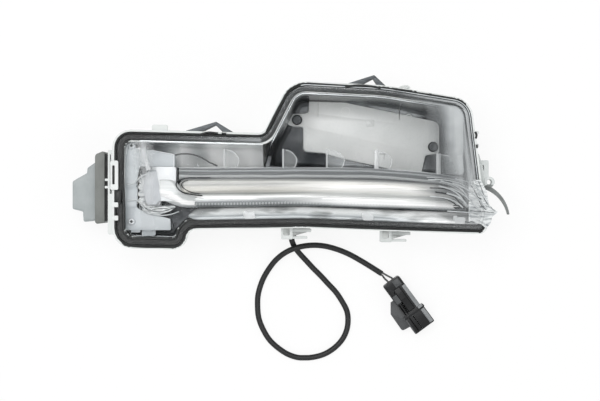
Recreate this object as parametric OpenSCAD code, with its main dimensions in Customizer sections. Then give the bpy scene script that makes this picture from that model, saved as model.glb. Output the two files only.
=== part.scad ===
// Daytime running light with a light guide, lying on its back with the lens up.
// X runs along the lamp, Y up the lamp, Z out of the lens. The rear feet stand on z = 0.

/* [Sealed body] */
// Distance from the left side to the upper right corner
body_w = 267; // [255:1:280]
// Height of the narrow arm on the left
arm_h = 73; // [68:1:78]
// Height of the deep bowl on the right
bowl_h = 108; // [100:1:116]
// Distance from the left side to the foot of the slope into the bowl
step_x = 113; // [105:1:120]
// Run of the slope into the bowl
slope_run = 20; // [16:1:26]
// How far the upper edge falls towards its right corner
top_fall = 14; // [10:1:18]
// Width of the lobe that holds the light source
lobe_w = 51; // [46:1:56]
// How far that lobe hangs below the arm
lobe_drop = 15; // [13:0.5:19]
// How far the lower right corner reaches past the upper one
tip_reach = 15; // [11:0.5:19]
// Height of the sealing plane above the rear feet
rim_z = 50; // [46:1:56]
// Height of the back of the bowl above the rear feet
bowl_back = 2; // [1:0.5:4]
// Height of the back of the arm above the rear feet
arm_back = 14; // [11:0.5:17]

/* [Walls] */
// Wall of the housing
wall_t = 2.5; // [2:0.1:3.2]
// Width of the channel for the bead
channel_w = 6; // [5:0.1:7]
// Height of the channel's outer lip
lip_h = 6; // [4.5:0.1:7]
// Thickness of the lips
lip_t = 1.5; // [1.2:0.1:2]
// Thickness of the rear ribs
rib_t = 1.8; // [1.4:0.1:2.4]
// Width of the flange on the left side
flange_w = 4; // [3:0.5:6]

/* [Lens] */
// Wall of the outer lens
lens_t = 2.2; // [1.8:0.1:2.4]
// Height of the lens front above the sealing plane, at its middle
lens_rise = 20; // [17:0.5:24]
// Radius of the lens front across the lamp
lens_r = 1500; // [1200:50:2500]
// How far the clear corner stands out of the rim
corner_reach = 6; // [3:0.5:8]

/* [Reflector] */
// Wall of the reflector
reflector_t = 1.5; // [1.2:0.1:2]
// Height of the raised pad of the housing that shows in the window
pad_h = 7; // [5.5:0.5:9]
// Diameter of the reflector screw heads
screw_head_d = 8; // [6:0.5:9]

/* [Light guide] */
// Width of the bar seen from the front
bar_w = 12.5; // [11:0.1:14]
// Depth of the bar
bar_t = 13; // [10:0.5:16]
// Width of the step below the bar
step_w = 8.5; // [7:0.5:10]
// Width of the flange above the bar
guide_flange_w = 8; // [6:0.5:9]
// Thickness of the D tabs
tab_t = 1.5; // [1.2:0.1:2.2]
// Height of the D tabs
tab_h = 14; // [12:0.5:18]
// Width of the D tabs
tab_w = 13; // [10:0.5:15]

/* [Light source] */
// Width of the white holder
holder_w = 21; // [19:0.5:23]
// Height of the white holder
holder_h = 26; // [23:0.5:28]
// Depth of the white holder
holder_t = 16; // [12:0.5:18]
// Thickness of the circuit board
board_t = 1.6; // [1.2:0.1:2]
// Thickness of the carrier plates
carrier_t = 2; // [1.5:0.1:2.5]

/* [Driver] */
// Length of the electronics box
driver_l = 20; // [16:0.5:21]
// Height of the sealed collar
collar_h = 56; // [50:1:58]
// Depth of the collar
collar_t = 27; // [23:0.5:28]
// Thickness of the gasket
gasket_t = 2; // [1.5:0.1:2.5]

/* [Clips] */
// Thickness of the bent spring clips
spring_t = 2.2; // [1.6:0.1:2.6]
// Width of the spring clips
spring_w = 10; // [7:0.5:12]
// Rise of the spring clips above the housing's wall
spring_rise = 12.5; // [10:0.5:14]
// Outer radius of the side bush
bush_r = 4; // [3.5:0.1:5]
// Radius of the bore in the side bush
bush_bore_r = 2; // [1.6:0.1:2.6]

/* [Cable] */
// Diameter of the cable
cable_d = 4.4; // [4:0.1:5]
// Diameter of one wire
wire_d = 1.6; // [1.2:0.1:2]
// Length of the connector
plug_l = 45; // [40:1:50]
// Width of the connector
plug_w = 15; // [13:0.5:17]
// Height of the connector
plug_h = 12; // [10:0.5:14]

/* [Hidden] */
$fn = 48;
eps = 0.01;
gap = 0.25;

// Places of the outline, from the middle of the whole lamp
left_x = -131.8;
arm_top = 23.2;
arm_low = arm_top - arm_h;
bowl_top = arm_low + 1.5 + bowl_h;
foot_x = left_x + step_x;
right_x = left_x + body_w;
top_run = right_x - foot_x - slope_run;
tip_x = right_x + tip_reach;
lobe_x = left_x + lobe_w;
lobe_low = arm_low - lobe_drop;

// Corners of the sealing outline, anticlockwise, each with its radius
rim = [
  [left_x, lobe_low + 1.5, 14],
  [lobe_x, lobe_low, 10],
  [lobe_x + 4, arm_low + 0.2, 8],
  [foot_x + 26.6, arm_low + 1.7, 200],
  [tip_x - 4.5, arm_low - 3.2, 5],
  [tip_x, arm_low + 10.7, 8],
  [right_x + tip_reach / 2, arm_low + 34.8, 60],
  [right_x, bowl_top - top_fall, 15],
  [foot_x + slope_run + top_run * 0.521, bowl_top - 3.5, 190],
  [foot_x + slope_run, bowl_top, 19],
  [foot_x, arm_top - 3, 8],
  [left_x, arm_top, 12]
];

// Outline helpers: unit and left hand vectors, a rounded corner, an inset outline
function unit(v) = v / norm(v);
function left(v) = [-v[1], v[0]];
function cross2(a, b) = a[0] * b[1] - a[1] * b[0];
function flat(v) = [v[0], v[1]];
function corner(a, b, c, r, n) =
  let (u = unit(a - b), v = unit(c - b), half = acos(u * v) / 2, m = b + unit(u + v) * r / sin(half))
  let (p = b + u * r / tan(half) - m, q = b + v * r / tan(half) - m)
  let (a0 = atan2(p[1], p[0]), turn = atan2(cross2(p, q), p * q))
  [for (i = [0:n]) m + r * [cos(a0 + turn * i / n), sin(a0 + turn * i / n)]];
function rounded(list, n = 5) =
  let (k = len(list))
  [for (i = [0:k - 1]) let (a = flat(list[(i + k - 1) % k]), b = flat(list[i]), c = flat(list[(i + 1) % k]))
    each corner(a, b, c, list[i][2], n)];
function inset(list, d) =
  let (k = len(list))
  [for (i = [0:k - 1])
    let (a = flat(list[(i + k - 1) % k]), b = flat(list[i]), c = flat(list[(i + 1) % k]))
    let (n1 = left(unit(b - a)), n2 = left(unit(c - b)), hollow = cross2(b - a, c - b) < 0)
    let (p = b + (n1 + n2) * d / (1 + n1 * n2))
    [p[0], p[1], max(0.5, list[i][2] + (hollow ? d : -d))]];

module slab(list, z0, z1) {
  translate([0, 0, z0])
    linear_extrude(z1 - z0)
      polygon(rounded(list));
}

module ring(outer, inner, z0, z1) {
  difference() {
    slab(outer, z0, z1);
    slab(inner, z0 - 1, z1 + 1);
  }
}

// A block with round upright edges, from its lowest corner
module block(p, s, r = 1) {
  translate(p)
    linear_extrude(s[2])
      polygon(rounded([[0, 0, r], [s[0], 0, r], [s[0], s[1], r], [0, s[1], r]], 4));
}

// A solid through rings of points that all have the same count
module loft(rings) {
  n = len(rings[0]);
  k = len(rings);
  side = [for (j = [0:k - 2]) for (i = [0:n - 1])
    each [[j * n + i, (j + 1) * n + i, j * n + (i + 1) % n],
      [(j + 1) * n + i, (j + 1) * n + (i + 1) % n, j * n + (i + 1) % n]]];
  first = [for (i = [0:n - 1]) i];
  last = [for (i = [n - 1:-1:0]) (k - 1) * n + i];
  polyhedron([for (r = rings) each r], concat([first], side, [last]));
}

function level(list, z) = [for (p = rounded(list)) [p[0], p[1], z]];

// A bent strip along a few points, t thick
function strip(p, t) =
  let (k = len(p), d = [for (i = [0:k - 2]) unit(p[i + 1] - p[i])])
  let (m = [for (i = [0:k - 1]) let (a = d[max(i - 1, 0)], b = d[min(i, k - 2)])
    (left(a) + left(b)) / (1 + a * b)])
  concat([for (i = [0:k - 1]) p[i] + m[i] * t / 2], [for (i = [k - 1:-1:0]) p[i] - m[i] * t / 2]);

// Levels that several pieces share
lip_z = rim_z + lip_h;
plate_z = rim_z - wall_t;
bowl_floor = bowl_back + wall_t;
arm_floor = arm_back + wall_t;
pad_z = bowl_back + pad_h;
foot_z = rim_z + lip_h / 2;
front_z = rim_z + lens_rise;
wall_in = lip_t + wall_t + 1.5;
channel_in = channel_w + lip_t;

// The pad's outline, seen through the reflector's window
pad_left = foot_x + 15.8;
pad_right = right_x - 18.7;
pad_top = bowl_top - 7.7;
pad_low = arm_low + 42.3;
pad = [
  [pad_left + 13.5, pad_low + 17, 3], [pad_left + 30, pad_low + 15.5, 8], [pad_left + 45, pad_low + 11, 8],
  [pad_right - 23.5, pad_low, 4], [pad_right - 14, pad_low, 2], [pad_right - 11, pad_low + 14, 2.5],
  [pad_right, pad_low + 15.5, 2], [pad_right, pad_top - 20, 6], [pad_right - 23.5, pad_top - 15, 30],
  [pad_left + 38, pad_top - 3, 60], [pad_left + 18, pad_top, 4], [pad_left + 17.5, pad_top - 13, 2],
  [pad_left + 1, pad_top - 13.5, 4], [pad_left, pad_top - 22.5, 4], [pad_left + 13.5, pad_top - 23.5, 2]
];
pad_screws = [[pad_left + 8.5, pad_top - 18.2], [pad_right - 5, pad_low + 20.3]];
screw_r = 1.6;

// Housing
// The rear feet: two posts under the arm and four pads under the bowl
posts = [[left_x + 13.8, arm_top - 17.2], [left_x + 27.8, lobe_low + 10.8]];
pads = [[foot_x + 28.8, bowl_top - 15.7], [right_x - 23.2, bowl_top - 25.7], [right_x - 17.2, arm_low + 11.8],
  [foot_x + 30.8, arm_low + 11.8]];
post_r = 5;
gland_x = foot_x + 20.3;
gland_z = 6;
gland_r = 3.4;
gland_boss_r = 5.8;
port_y = arm_low + 30.8;
port_z = arm_back + 2 + collar_t / 2;
port_reach = 6.8;

module housing_wall() {
  outer = inset(rim, lip_t + 1.5);
  inner = inset(rim, wall_in);
  difference() {
    union() {
      slab(outer, arm_back, plate_z + eps);
      intersection() {
        slab(outer, bowl_back, arm_back + 1);
        translate([foot_x - 2, -100, 0]) cube([300, 200, 100]);
      }
    }
    slab(inner, arm_floor, rim_z + 1);
    intersection() {
      slab(inner, bowl_floor, rim_z + 1);
      translate([foot_x - 2 + wall_t, -100, 0]) cube([300, 200, 100]);
    }
  }
}

module housing_rim() {
  ring(inset(rim, -lip_t), inset(rim, channel_in), plate_z, rim_z);
  ring(inset(rim, -lip_t), rim, rim_z - eps, lip_z);
  ring(inset(rim, channel_w), inset(rim, channel_in), rim_z - eps, rim_z + lip_h * 0.6);
}

module housing_flange() {
  x0 = left_x - lip_t - flange_w;
  difference() {
    block([x0, arm_top - 78, plate_z - 3], [flange_w + lip_t, 64, 3 + wall_t], 1.5);
    translate([x0 + 1.5, arm_low + 25.8, plate_z - 5]) cube([flange_w - 1, 30, 12]);
  }
  for (y = [arm_low + 15.8, arm_low + 5.8])
    block([left_x - lip_t, y, lip_z - eps], [lip_t + 3.1, 3.6, 1.2], 0.6);
  for (y = [arm_low + 30, arm_low + 35.6])
    block([x0 - 2.6, y, plate_z - 2], [3.2, 1.8, 2], 0.6);
}

// Small tabs, studs and a hook outside the rim, at the height of its plate
module housing_tabs() {
  block([left_x + 27.5, arm_top - 1, plate_z - 3.2], [12, 6.2, 3.3], 1.2);
  translate([right_x - 52, bowl_top - 7.2, plate_z - 3])
    linear_extrude(4)
      polygon([[-1, -3], [6.5, -3.4], [6.5, 3.4], [4.6, 4.2], [0.5, 1.6]]);
  for (p = [[right_x - 39.5, bowl_top - 7], [right_x - 28.5, bowl_top - 9.2]])
    translate([p[0], p[1], plate_z - 3]) cylinder(h = 4.5, r = 1.7);
  for (y = [arm_low + 61.4, arm_low + 71])
    block([right_x + 1.5, y, plate_z - 3], [6.4, 2.4, 4], 0.8);
}

// Rear ribs: upright and level ones that stop short of the pads, and a row under the arm
module rear_ribs() {
  for (x = [foot_x + 38.8:24:right_x - 40])
    translate([x, arm_low + 9.8, bowl_back - 1.5]) cube([rib_t, bowl_h - 28, 1.6]);
  for (y = [arm_low + 24, bowl_top - 30])
    translate([foot_x + 24, y, bowl_back - 1.5]) cube([body_w - step_x - 44, rib_t, 1.6]);
  for (x = [left_x + 46:18:foot_x - 14])
    translate([x, arm_low + 6, arm_back - 3]) cube([rib_t, arm_h - 14, 3.1]);
  translate([left_x + 44, arm_low + 36, arm_back - 2.2]) cube([step_x - 50, rib_t, 2.3]);
}

module housing() {
  color("gainsboro")
    difference() {
      union() {
        housing_wall();
        housing_rim();
        housing_flange();
        slab(pad, bowl_floor - eps, pad_z);
        for (p = pads)
          translate([p[0], p[1], 0]) cylinder(h = bowl_back + 1, r = 6);
        housing_tabs();
        rear_ribs();
        translate([gland_x, arm_low + 6, gland_z]) rotate([90, 0, 0]) cylinder(h = 7, r = gland_boss_r);
        translate([left_x + 4, port_y, port_z]) rotate([0, -90, 0])
          linear_extrude(port_reach + 4)
            square([collar_t - 8, collar_h - 14], center = true);
      }
      slab(inset(pad, wall_t), bowl_back - 1, pad_z - wall_t);
      for (p = pad_screws)
        translate([p[0], p[1], pad_z - 8]) cylinder(h = 10, r = screw_r);
      translate([gland_x, arm_low + 12, gland_z]) rotate([90, 0, 0]) cylinder(h = 30, r = gland_r);
      translate([left_x + 8, port_y, port_z]) rotate([0, -90, 0])
        linear_extrude(30)
          square([collar_t - 13, collar_h - 20], center = true);
    }
}

// Two bored posts that stand on the back of the arm
module mount_posts() {
  color("gainsboro")
    for (p = posts)
      translate([p[0], p[1], 0])
        difference() {
          cylinder(h = arm_back, r = post_r);
          translate([0, 0, -1]) cylinder(h = arm_back - 1, r = 2.1);
        }
}

// Seal
lens_in = 3.4;
core_in = lens_in + lens_t;

module seal_bead() {
  color([0.13, 0.14, 0.14])
    difference() {
      union() {
        ring(inset(rim, gap), inset(rim, channel_w - gap), rim_z, lip_z - 0.5);
        block([left_x + gap, arm_low + 18.8, rim_z], [5, 10, lip_h - 0.5], 1);
      }
      slab(inset(rim, 2 - gap / 2), foot_z, lip_z + 1);
    }
}

// Outer lens: a shoulder in the bead, an upright wall, a curved front and a clear flange over the right end
module front_cut(r) {
  translate([0, 150, front_z - lens_r])
    rotate([90, 0, 0])
      cylinder(h = 300, r = r, $fn = 720);
}

module outer_lens() {
  end_flange = [
    [tip_x - 16, arm_low + 3.8, 1], [tip_x - 6.7, arm_low + 3.3, 3], [tip_x - 3, arm_low - 0.2, 1],
    [tip_x + 0.4, arm_low + 3.2, 1], [tip_x + 1.8, arm_low + 8.4, 1.5], [tip_x + corner_reach, arm_low + 12, 0.8],
    [tip_x - 0.6, arm_low + 17.4, 3], [tip_x - 2.2, arm_low + 27.2, 8], [tip_x - 6.6, arm_low + 36.2, 2],
    [tip_x - 16, arm_low + 36.8, 1]
  ];
  color([0.85, 0.88, 0.9, 0.35])
    difference() {
      union() {
        slab(inset(rim, 2), foot_z + eps, lip_z - gap);
        intersection() {
          slab(inset(rim, lens_in), foot_z + eps, front_z + 5);
          front_cut(lens_r);
        }
        slab(end_flange, lip_z + 0.3, lip_z + 0.3 + lens_t);
      }
      intersection() {
        slab(inset(rim, core_in), foot_z - 1, front_z + 5);
        front_cut(lens_r - lens_t);
      }
    }
}

// Reflector: a tapered bowl with a window, and a sloping wall along the arm
guide_top = arm_low + 45.8;
bowl_in = inset(rim, channel_in + gap);
bowl_mouth = [
  [foot_x - 1, guide_top, 2],
  [bowl_in[6][0] - 2, guide_top - 6, 3],
  [bowl_in[7][0], bowl_in[7][1], 7],
  [bowl_in[8][0], bowl_in[8][1], 150],
  [bowl_in[9][0], bowl_in[9][1], 11],
  [bowl_in[10][0], bowl_in[10][1], 8]
];
bowl_base = [
  [foot_x + 4, guide_top, 2],
  [right_x - 14, guide_top - 7, 3],
  [right_x - 14, bowl_top - 22.5, 6],
  [rim[8][0] + 3, bowl_top - 11, 150],
  [foot_x + slope_run + 4.5, bowl_top - 8.6, 9],
  [bowl_in[10][0] + 0.5, bowl_in[10][1] - 1, 8]
];
reflector_z = bowl_floor + 1;
mouth_z = rim_z + 2;

module bowl_form(d, z) {
  loft([level(inset(bowl_base, d), z), level(inset(bowl_base, d), z + 1), level(inset(bowl_mouth, d), mouth_z),
    level(inset(bowl_mouth, d), mouth_z + d)]);
}

function arm_edge(x) = arm_top - 3 * (x - left_x) / step_x;
function arm_wall(x) = strip([[arm_edge(x) - channel_in - gap - reflector_t / 2, mouth_z],
  [arm_edge(x) - channel_in - gap - reflector_t / 2 - 0.5, 40], [guide_top + 1, 30]], reflector_t);

module reflector() {
  x0 = left_x + 19;
  x1 = foot_x - 1.5;
  color([0.42, 0.43, 0.44]) {
    difference() {
      union() {
        difference() {
          bowl_form(0.01, reflector_z);
          bowl_form(reflector_t, reflector_z + reflector_t);
        }
        for (p = pad_screws)
          translate([p[0], p[1], reflector_z + eps]) cylinder(h = pad_z + reflector_t - reflector_z, r = 5.2);
      }
      difference() {
        slab(inset(pad, -0.5), reflector_z - 1, pad_z + 20);
        for (p = pad_screws)
          translate([p[0], p[1], pad_z + gap / 2]) cylinder(h = 20, r = 5.3);
      }
      for (p = pad_screws)
        translate([p[0], p[1], pad_z - 5]) cylinder(h = 10, r = screw_r + 0.3);
      translate([foot_x - 10, guide_top - 12, 40]) cube([200, 14, 30]);
    }
    loft([for (x = [x0, x1]) let (w = arm_wall(x)) [for (i = [len(w) - 1:-1:0]) [x, w[i][0], w[i][1]]]]);
  }
}

module pan_screw(head_d, len, r) {
  head_t = head_d * 0.3;
  difference() {
    union() {
      translate([0, 0, -len]) cylinder(h = len + 0.1, r = r);
      cylinder(h = 1, r = head_d / 2);
      translate([0, 0, 1 - eps]) cylinder(h = head_t - 1, r1 = head_d / 2, r2 = head_d * 0.38);
    }
    for (a = [0, 90])
      rotate([0, 0, a]) translate([-head_d * 0.22, -0.45, head_t - 1]) cube([head_d * 0.44, 0.9, 2]);
  }
}

module reflector_screws() {
  color([0.3, 0.3, 0.31])
    for (p = pad_screws)
      translate([p[0], p[1], pad_z + reflector_t + eps]) pan_screw(screw_head_d, 6, screw_r - 0.1);
}

// Light guide: a crowned bar with a step, swept along a line that falls to the right
guide_x = left_x + 46.2;
guide_end = right_x + 1.5;
guide_y = arm_low + 31.8;
guide_z = rim_z - 15.5;
guide_lift = 15.2;
guide_flat = foot_x + 28.8;
function fall(x) = guide_y - 4.5 * pow(max(0, x - guide_flat) / 100, 3);
function swell(x) =
  let (a = min(1, (x - guide_x + 0.4) / 8), b = min(1, (guide_end + 0.6 - x) / 12))
  max(0.12, sqrt(1 - pow(1 - a, 2)) * (0.3 + 0.7 * sqrt(1 - pow(1 - b, 2))));
function low_edge(x) =
  let (d = x - rim[3][0])
  rim[3][1] - (d < 0 ? -d * 0.018 : d * 0.0355);
function bar_y(x, y) =
  let (top = fall(x) + bar_w / 2, low = low_edge(x) + guide_lift)
  top - (bar_w / 2 - y) * (top - low) / (bar_w + step_w);
function bar_section(s) = [for (p = [
    [bar_w / 2, 3], [bar_w / 2, bar_t - 3.5], [bar_w / 2 - 1.5, bar_t - 1], [bar_w / 4, bar_t - 0.2],
    [0, bar_t], [-bar_w / 4, bar_t - 0.1], [-bar_w / 2 + 1.3, bar_t - 0.9], [-bar_w / 2, bar_t - 3],
    [-bar_w / 2 - 1, bar_t - 4], [-bar_w / 2 - 2.5, bar_t - 3], [-bar_w / 2 - step_w + 2, bar_t - 3.6],
    [-bar_w / 2 - step_w, bar_t - 6], [-bar_w / 2 - step_w, 3], [-bar_w / 2, 0], [bar_w / 2 - 2, 0]])
  [-bar_w / 2 + (p[0] + bar_w / 2) * s, bar_t / 2 + (p[1] - bar_t / 2) * s]];
guide_l = guide_end - guide_x;
guide_xs = concat([for (d = [0, 0.6, 1.8, 3.8, 6.5, 9]) guide_x + d],
  [for (i = [0:14]) guide_x + 18 + i * (guide_l - 36) / 14],
  [for (d = [12, 9, 6, 3.5, 1.5, 0]) guide_end - d]);
tab_x = concat([guide_x + 36.9], [for (share = [0.367, 0.516, 0.681, 0.893]) guide_x + guide_l * share]);

module light_guide() {
  flange_xs = [for (i = [0:14]) guide_x + 1 + i * (guide_l - 5) / 14];
  upper = [for (x = flange_xs) [x, fall(x) + bar_w / 2 + guide_flange_w]];
  lower = [for (i = [14:-1:0]) [flange_xs[i], fall(flange_xs[i]) + bar_w / 2 - 2]];
  color([0.92, 0.94, 0.95, 0.6]) {
    loft([for (x = guide_xs) [for (p = bar_section(swell(x))) [x, bar_y(x, p[0]), guide_z + p[1]]]]);
    difference() {
      translate([0, 0, guide_z + 7])
        linear_extrude(2)
          polygon(concat(upper, lower));
      translate([guide_x - 1, guide_y - 22, guide_z]) cube([2.5, 40, 30]);
    }
    for (x = tab_x)
      translate([x, fall(x) + bar_w / 2 + guide_flange_w - 0.5, guide_z + 7]) {
        block([1, 0, 2 - tab_t], [tab_w, tab_h, tab_t], 2);
        block([-1.6, 0, -1], [2.7, tab_h + 0.4, 4.5], 0.5);
      }
  }
}

// Lower trim: a pale strip that follows the rim's lower edge and covers the channel's inner lip

module lower_trim() {
  xs = [left_x + 56, left_x + 58, rim[3][0], right_x - 75, right_x - 35, right_x, right_x + 4];
  path = [[6.4, lip_z - 0.3], [9, lip_z - 0.8], [12.8, rim_z - 6], [14.4, rim_z - 14.2]];
  section = strip(path, 1.3);
  color([0.82, 0.84, 0.84]) {
    loft([for (x = xs) [for (i = [len(section) - 1:-1:0]) [x, low_edge(x) + section[i][0], section[i][1]]]]);
    for (x = [left_x + 101.8, right_x - 76.2, right_x - 7.2])
      block([x - 4, low_edge(x) + 6.2, lip_z + 0.2], [8, 4.5, 1.4], 1);
  }
}

// Light source at the left end of the guide
holder_x = guide_x - 0.6 - holder_w;
holder_y = guide_y - holder_h / 2 + 1.6;
holder_z = rim_z - 4 - holder_t;
stack_y = holder_y - 4;

module led_holder() {
  color("white")
    difference() {
      union() {
        block([holder_x, holder_y, holder_z], [holder_w, holder_h, holder_t], 2);
        block([holder_x - 2, holder_y - 3.5, holder_z - 4], [11, holder_h - 3, holder_t], 2);
      }
      block([holder_x + 9, guide_y - 4, holder_z + holder_t - 2.2], [holder_w, 7, 5], 0.5);
      translate([holder_x, holder_y - 20, holder_z + holder_t - 5.5])
        rotate([0, -42, 0]) cube([30, holder_h + 40, 30]);
      translate([holder_x, holder_y - 20, holder_z + holder_t - 5.5])
        rotate([0, -90, 0]) cube([30, holder_h + 40, 4]);
      translate([holder_x - 4, guide_y - 4, holder_z + 3]) cube([holder_w + 8, 7, 6]);
    }
}

module collimator() {
  color([0.85, 0.87, 0.9, 0.6])
    union() {
      block([holder_x - 6, stack_y, holder_z - 2], [3.8, holder_h - 2, holder_t], 1);
      for (i = [0:3])
        translate([holder_x - 5.2, stack_y + 4 + i * 5.4, holder_z - 1]) cylinder(h = holder_t - 1, r = 2.7);
    }
}

module led_chips() {
  color("lightyellow")
    for (i = [0:3])
      translate([holder_x - 8.9, stack_y + 2.6 + i * 5.4, holder_z + 3]) cube([0.8, 2.8, 2.8]);
}

module led_board() {
  color("darkgreen")
    translate([holder_x - 8.9 - board_t, stack_y - 1, holder_z - 4]) cube([board_t, holder_h + 1, holder_t - 2]);
}

module heat_sink() {
  x = holder_x - 8.9 - board_t - 2;
  color("silver") {
    translate([x, stack_y - 1, holder_z - 4]) cube([2, holder_h + 1, holder_t - 2]);
    for (i = [0:4])
      translate([x - 5, stack_y + 3 + i * 5, holder_z - 4]) cube([5 + eps, 1.4, holder_t - 3]);
  }
}

// Carrier: thin plates round the holder on four legs that stand on the floor of the arm
carrier_z = rim_z - 9;
carrier_x = left_x + wall_in + 0.6;
carrier_in = holder_x - 8 - gap;
carrier_bolts = [[left_x + 11.8, arm_top - 10.7], [left_x + 11.8, arm_low + 4.8]];

module module_carrier() {
  top = holder_y + holder_h + gap;
  low = stack_y - 0.8;
  plate_top = arm_top - 8.7;
  plate_low = lobe_low + 13.3;
  plate = [
    [carrier_x, plate_low, 2], [holder_x + 16.9, plate_low, 1], [holder_x + 16.5, plate_low + 8.6, 1],
    [holder_x - 1.4, plate_low + 13, 2], [carrier_in - 1, low, 2], [carrier_in, low + 4, 1],
    [carrier_in, top - 8, 2], [carrier_in + 1.6, top, 2], [holder_x + 20, top, 1],
    [holder_x + 20, top + 9, 1], [holder_x - 4, top + 13.4, 1], [carrier_in - 1.5, top + 14, 0.6],
    [carrier_in - 1.6, plate_top, 0.4], [carrier_x, plate_top, 3]
  ];
  color([0.78, 0.79, 0.8])
    difference() {
      union() {
        slab(plate, carrier_z, carrier_z + carrier_t);
        translate([holder_x - 2, top + gap, carrier_z]) rotate([0, 0, 13]) block([0, 0, 0], [2.8, 14, 5], 1);
        for (y = [guide_y - 0.8, guide_y - 16])
          block([carrier_x + 0.6, y, carrier_z + 1], [carrier_in - carrier_x - 1.4, 4.4, 2.4], 1);
        for (y = [plate_low + 0.5, plate_top - 6])
          block([carrier_x, y, arm_floor], [4, 3, carrier_z - arm_floor + 1], 0.5);
        for (p = carrier_bolts)
          translate([p[0], p[1], arm_floor]) cylinder(h = carrier_z - arm_floor + 1, r = 3);
        block([holder_x + 14.2, plate_low + 1.5, arm_floor], [2.5, 5, carrier_z - arm_floor + 1], 0.5);
        block([carrier_x + 13, plate_low - 4.6, carrier_z - 4], [10.5, 6, 2.4], 2);
        block([carrier_x + 15, plate_low - 1, carrier_z - 4], [6, 2.4, 4.5], 0.5);
        block([carrier_x + 5, plate_low - 1.8, carrier_z - 0.6], [7, 2.8, 1.6], 0.5);
      }
      for (p = carrier_bolts)
        translate([p[0], p[1], arm_floor + 8]) cylinder(h = 60, r = 1.3);
      for (y = [guide_y - 10, guide_y + 8])
        block([carrier_x + 2, y, carrier_z + carrier_t - 0.6], [carrier_in - carrier_x - 4, 8, 3], 1.5);
    }
}

module carrier_screws() {
  color("silver")
    for (p = carrier_bolts)
      translate([p[0], p[1], carrier_z + carrier_t + eps]) pan_screw(5.5, 10, 1.2);
}

// Tubes: a smooth line through chosen points, and rings swept along it
function smooth(p, n) =
  let (k = len(p))
  concat([for (i = [0:k - 2]) for (j = [0:n - 1])
    let (a = p[max(i - 1, 0)], b = p[i], c = p[i + 1], d = p[min(i + 2, k - 1)], t = j / n)
    0.5 * (2 * b + (c - a) * t + (2 * a - 5 * b + 4 * c - d) * t * t + (3 * b - a - 3 * c + d) * t * t * t)],
    [p[k - 1]]);
function tube_ring(p, i, r, n) =
  let (k = len(p), t = unit(p[min(i + 1, k - 1)] - p[max(i - 1, 0)]))
  let (u = unit(cross([0, 0, 1], t)), v = cross(t, u))
  [for (j = [0:n - 1]) p[i] + r * (u * cos((j + 0.5) * 360 / n) + v * sin((j + 0.5) * 360 / n))];

module tube(p, r, n) {
  loft([for (i = [0:len(p) - 1]) tube_ring(p, i, r, n)]);
}

lead_points = [for (p = [[-1.4, 23.4, -6.2], [3.6, 24.4, -5.7], [11.6, 24, -5], [18.6, 21.6, -4.6], [24.6, 18, -5.4],
  [30.6, 15.3, -6.8]]) [guide_x + p[0], guide_y + p[1], rim_z + p[2]]];

module lead_wire() {
  color("dimgray") tube(smooth(lead_points, 2), 0.6, 8);
}

// Driver on the left side: box, collar and gasket on the housing's port
port_x = left_x - port_reach;
collar_x = port_x - gasket_t - 7.4;
driver_z = 14;
driver_top = 31;
driver_x = collar_x - driver_l + 1.4;
driver_bolts = [[driver_x + 13, port_y - 20], [driver_x + 14, port_y + 10]];

module driver_gasket() {
  color([0.15, 0.15, 0.16])
    translate([port_x - gasket_t, port_y, port_z]) rotate([0, 90, 0])
      linear_extrude(gasket_t)
        difference() {
          square([collar_t - 3, collar_h - 5], center = true);
          square([collar_t - 13, collar_h - 20], center = true);
        }
}

module driver_collar() {
  x1 = port_x - gasket_t;
  list = [[collar_x, port_y - collar_h / 2, 2], [x1, port_y - collar_h / 2 + 1, 1.5], [x1, port_y + collar_h / 2, 1.5],
    [collar_x, port_y + collar_h / 2 - 3, 3]];
  color([0.5, 0.5, 0.49])
    slab(list, port_z - collar_t / 2, port_z + collar_t / 2);
}

module driver_box() {
  list = [[driver_x, port_y - 16.5, 1.5], [driver_x + 8, port_y - 18.5, 1], [driver_x + 8.4, port_y - 26.5, 1.5],
    [collar_x, port_y - 25.5, 1], [collar_x, port_y + 20, 1], [driver_x + 15, port_y + 17.5, 2], [driver_x + 11.5, port_y + 15, 1],
    [driver_x + 11, port_y + 11, 1], [driver_x + 3, port_y + 6.5, 3], [driver_x, port_y + 4.5, 1.5]];
  color([0.67, 0.69, 0.69])
    difference() {
      union() {
        slab(list, driver_z, driver_top);
        slab(inset(list, 1.2), driver_top - eps, driver_top + 1.2);
      }
      for (y = [port_y - 10:5:port_y])
        block([driver_x + 4, y, driver_z - 2], [9, 1.6, 3], 0.5);
      for (p = driver_bolts)
        translate([p[0], p[1], driver_z - 1]) cylinder(h = 8, r = 1.3);
    }
}

module driver_screws() {
  color("silver")
    for (p = driver_bolts)
      translate([p[0], p[1], driver_z - eps]) rotate([180, 0, 0]) pan_screw(5, 6, 1.2);
}

// Clip over the rim at the left
module side_clip() {
  color([0.8, 0.82, 0.82])
    difference() {
      block([left_x - lip_t - 1.2, arm_low + 28.8, lip_z + gap], [lip_t + 1.2 + lens_in - gap, 22, 1.6], 1.2);
      block([left_x - lip_t + 0.2, arm_low + 32.8, lip_z - 1], [1.9, 14.5, 5], 0.8);
    }
  color([0.8, 0.82, 0.82])
    for (y = [arm_low + 29.8, arm_low + 47.8])
      block([left_x - lip_t - 1.2 - gap, y, plate_z + wall_t + gap], [1.2, 2, lip_h + 1], 0.4);
}

// Bent spring clips on the upper edge
module spring_clip(x, y, tilt, behind, ahead) {
  shoulder = clip_seat + 1.5;
  band = [[-behind, 0, 1], [ahead, 0, 1], [ahead - 0.6, shoulder, 2], [0, spring_rise, 1.5],
    [1.5 - behind, shoulder, 3]];
  hollow = inset([[2 - behind, 0, 1], [ahead - 1, 0, 1], [0, spring_rise, 1.5]], spring_t);
  color([0.45, 0.46, 0.47])
    translate([x, y, 0]) rotate([0, 0, tilt])
      difference() {
        slab(band, plate_z - 1 - spring_w, plate_z - 1);
        slab(hollow, 0, plate_z);
      }
}

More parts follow.
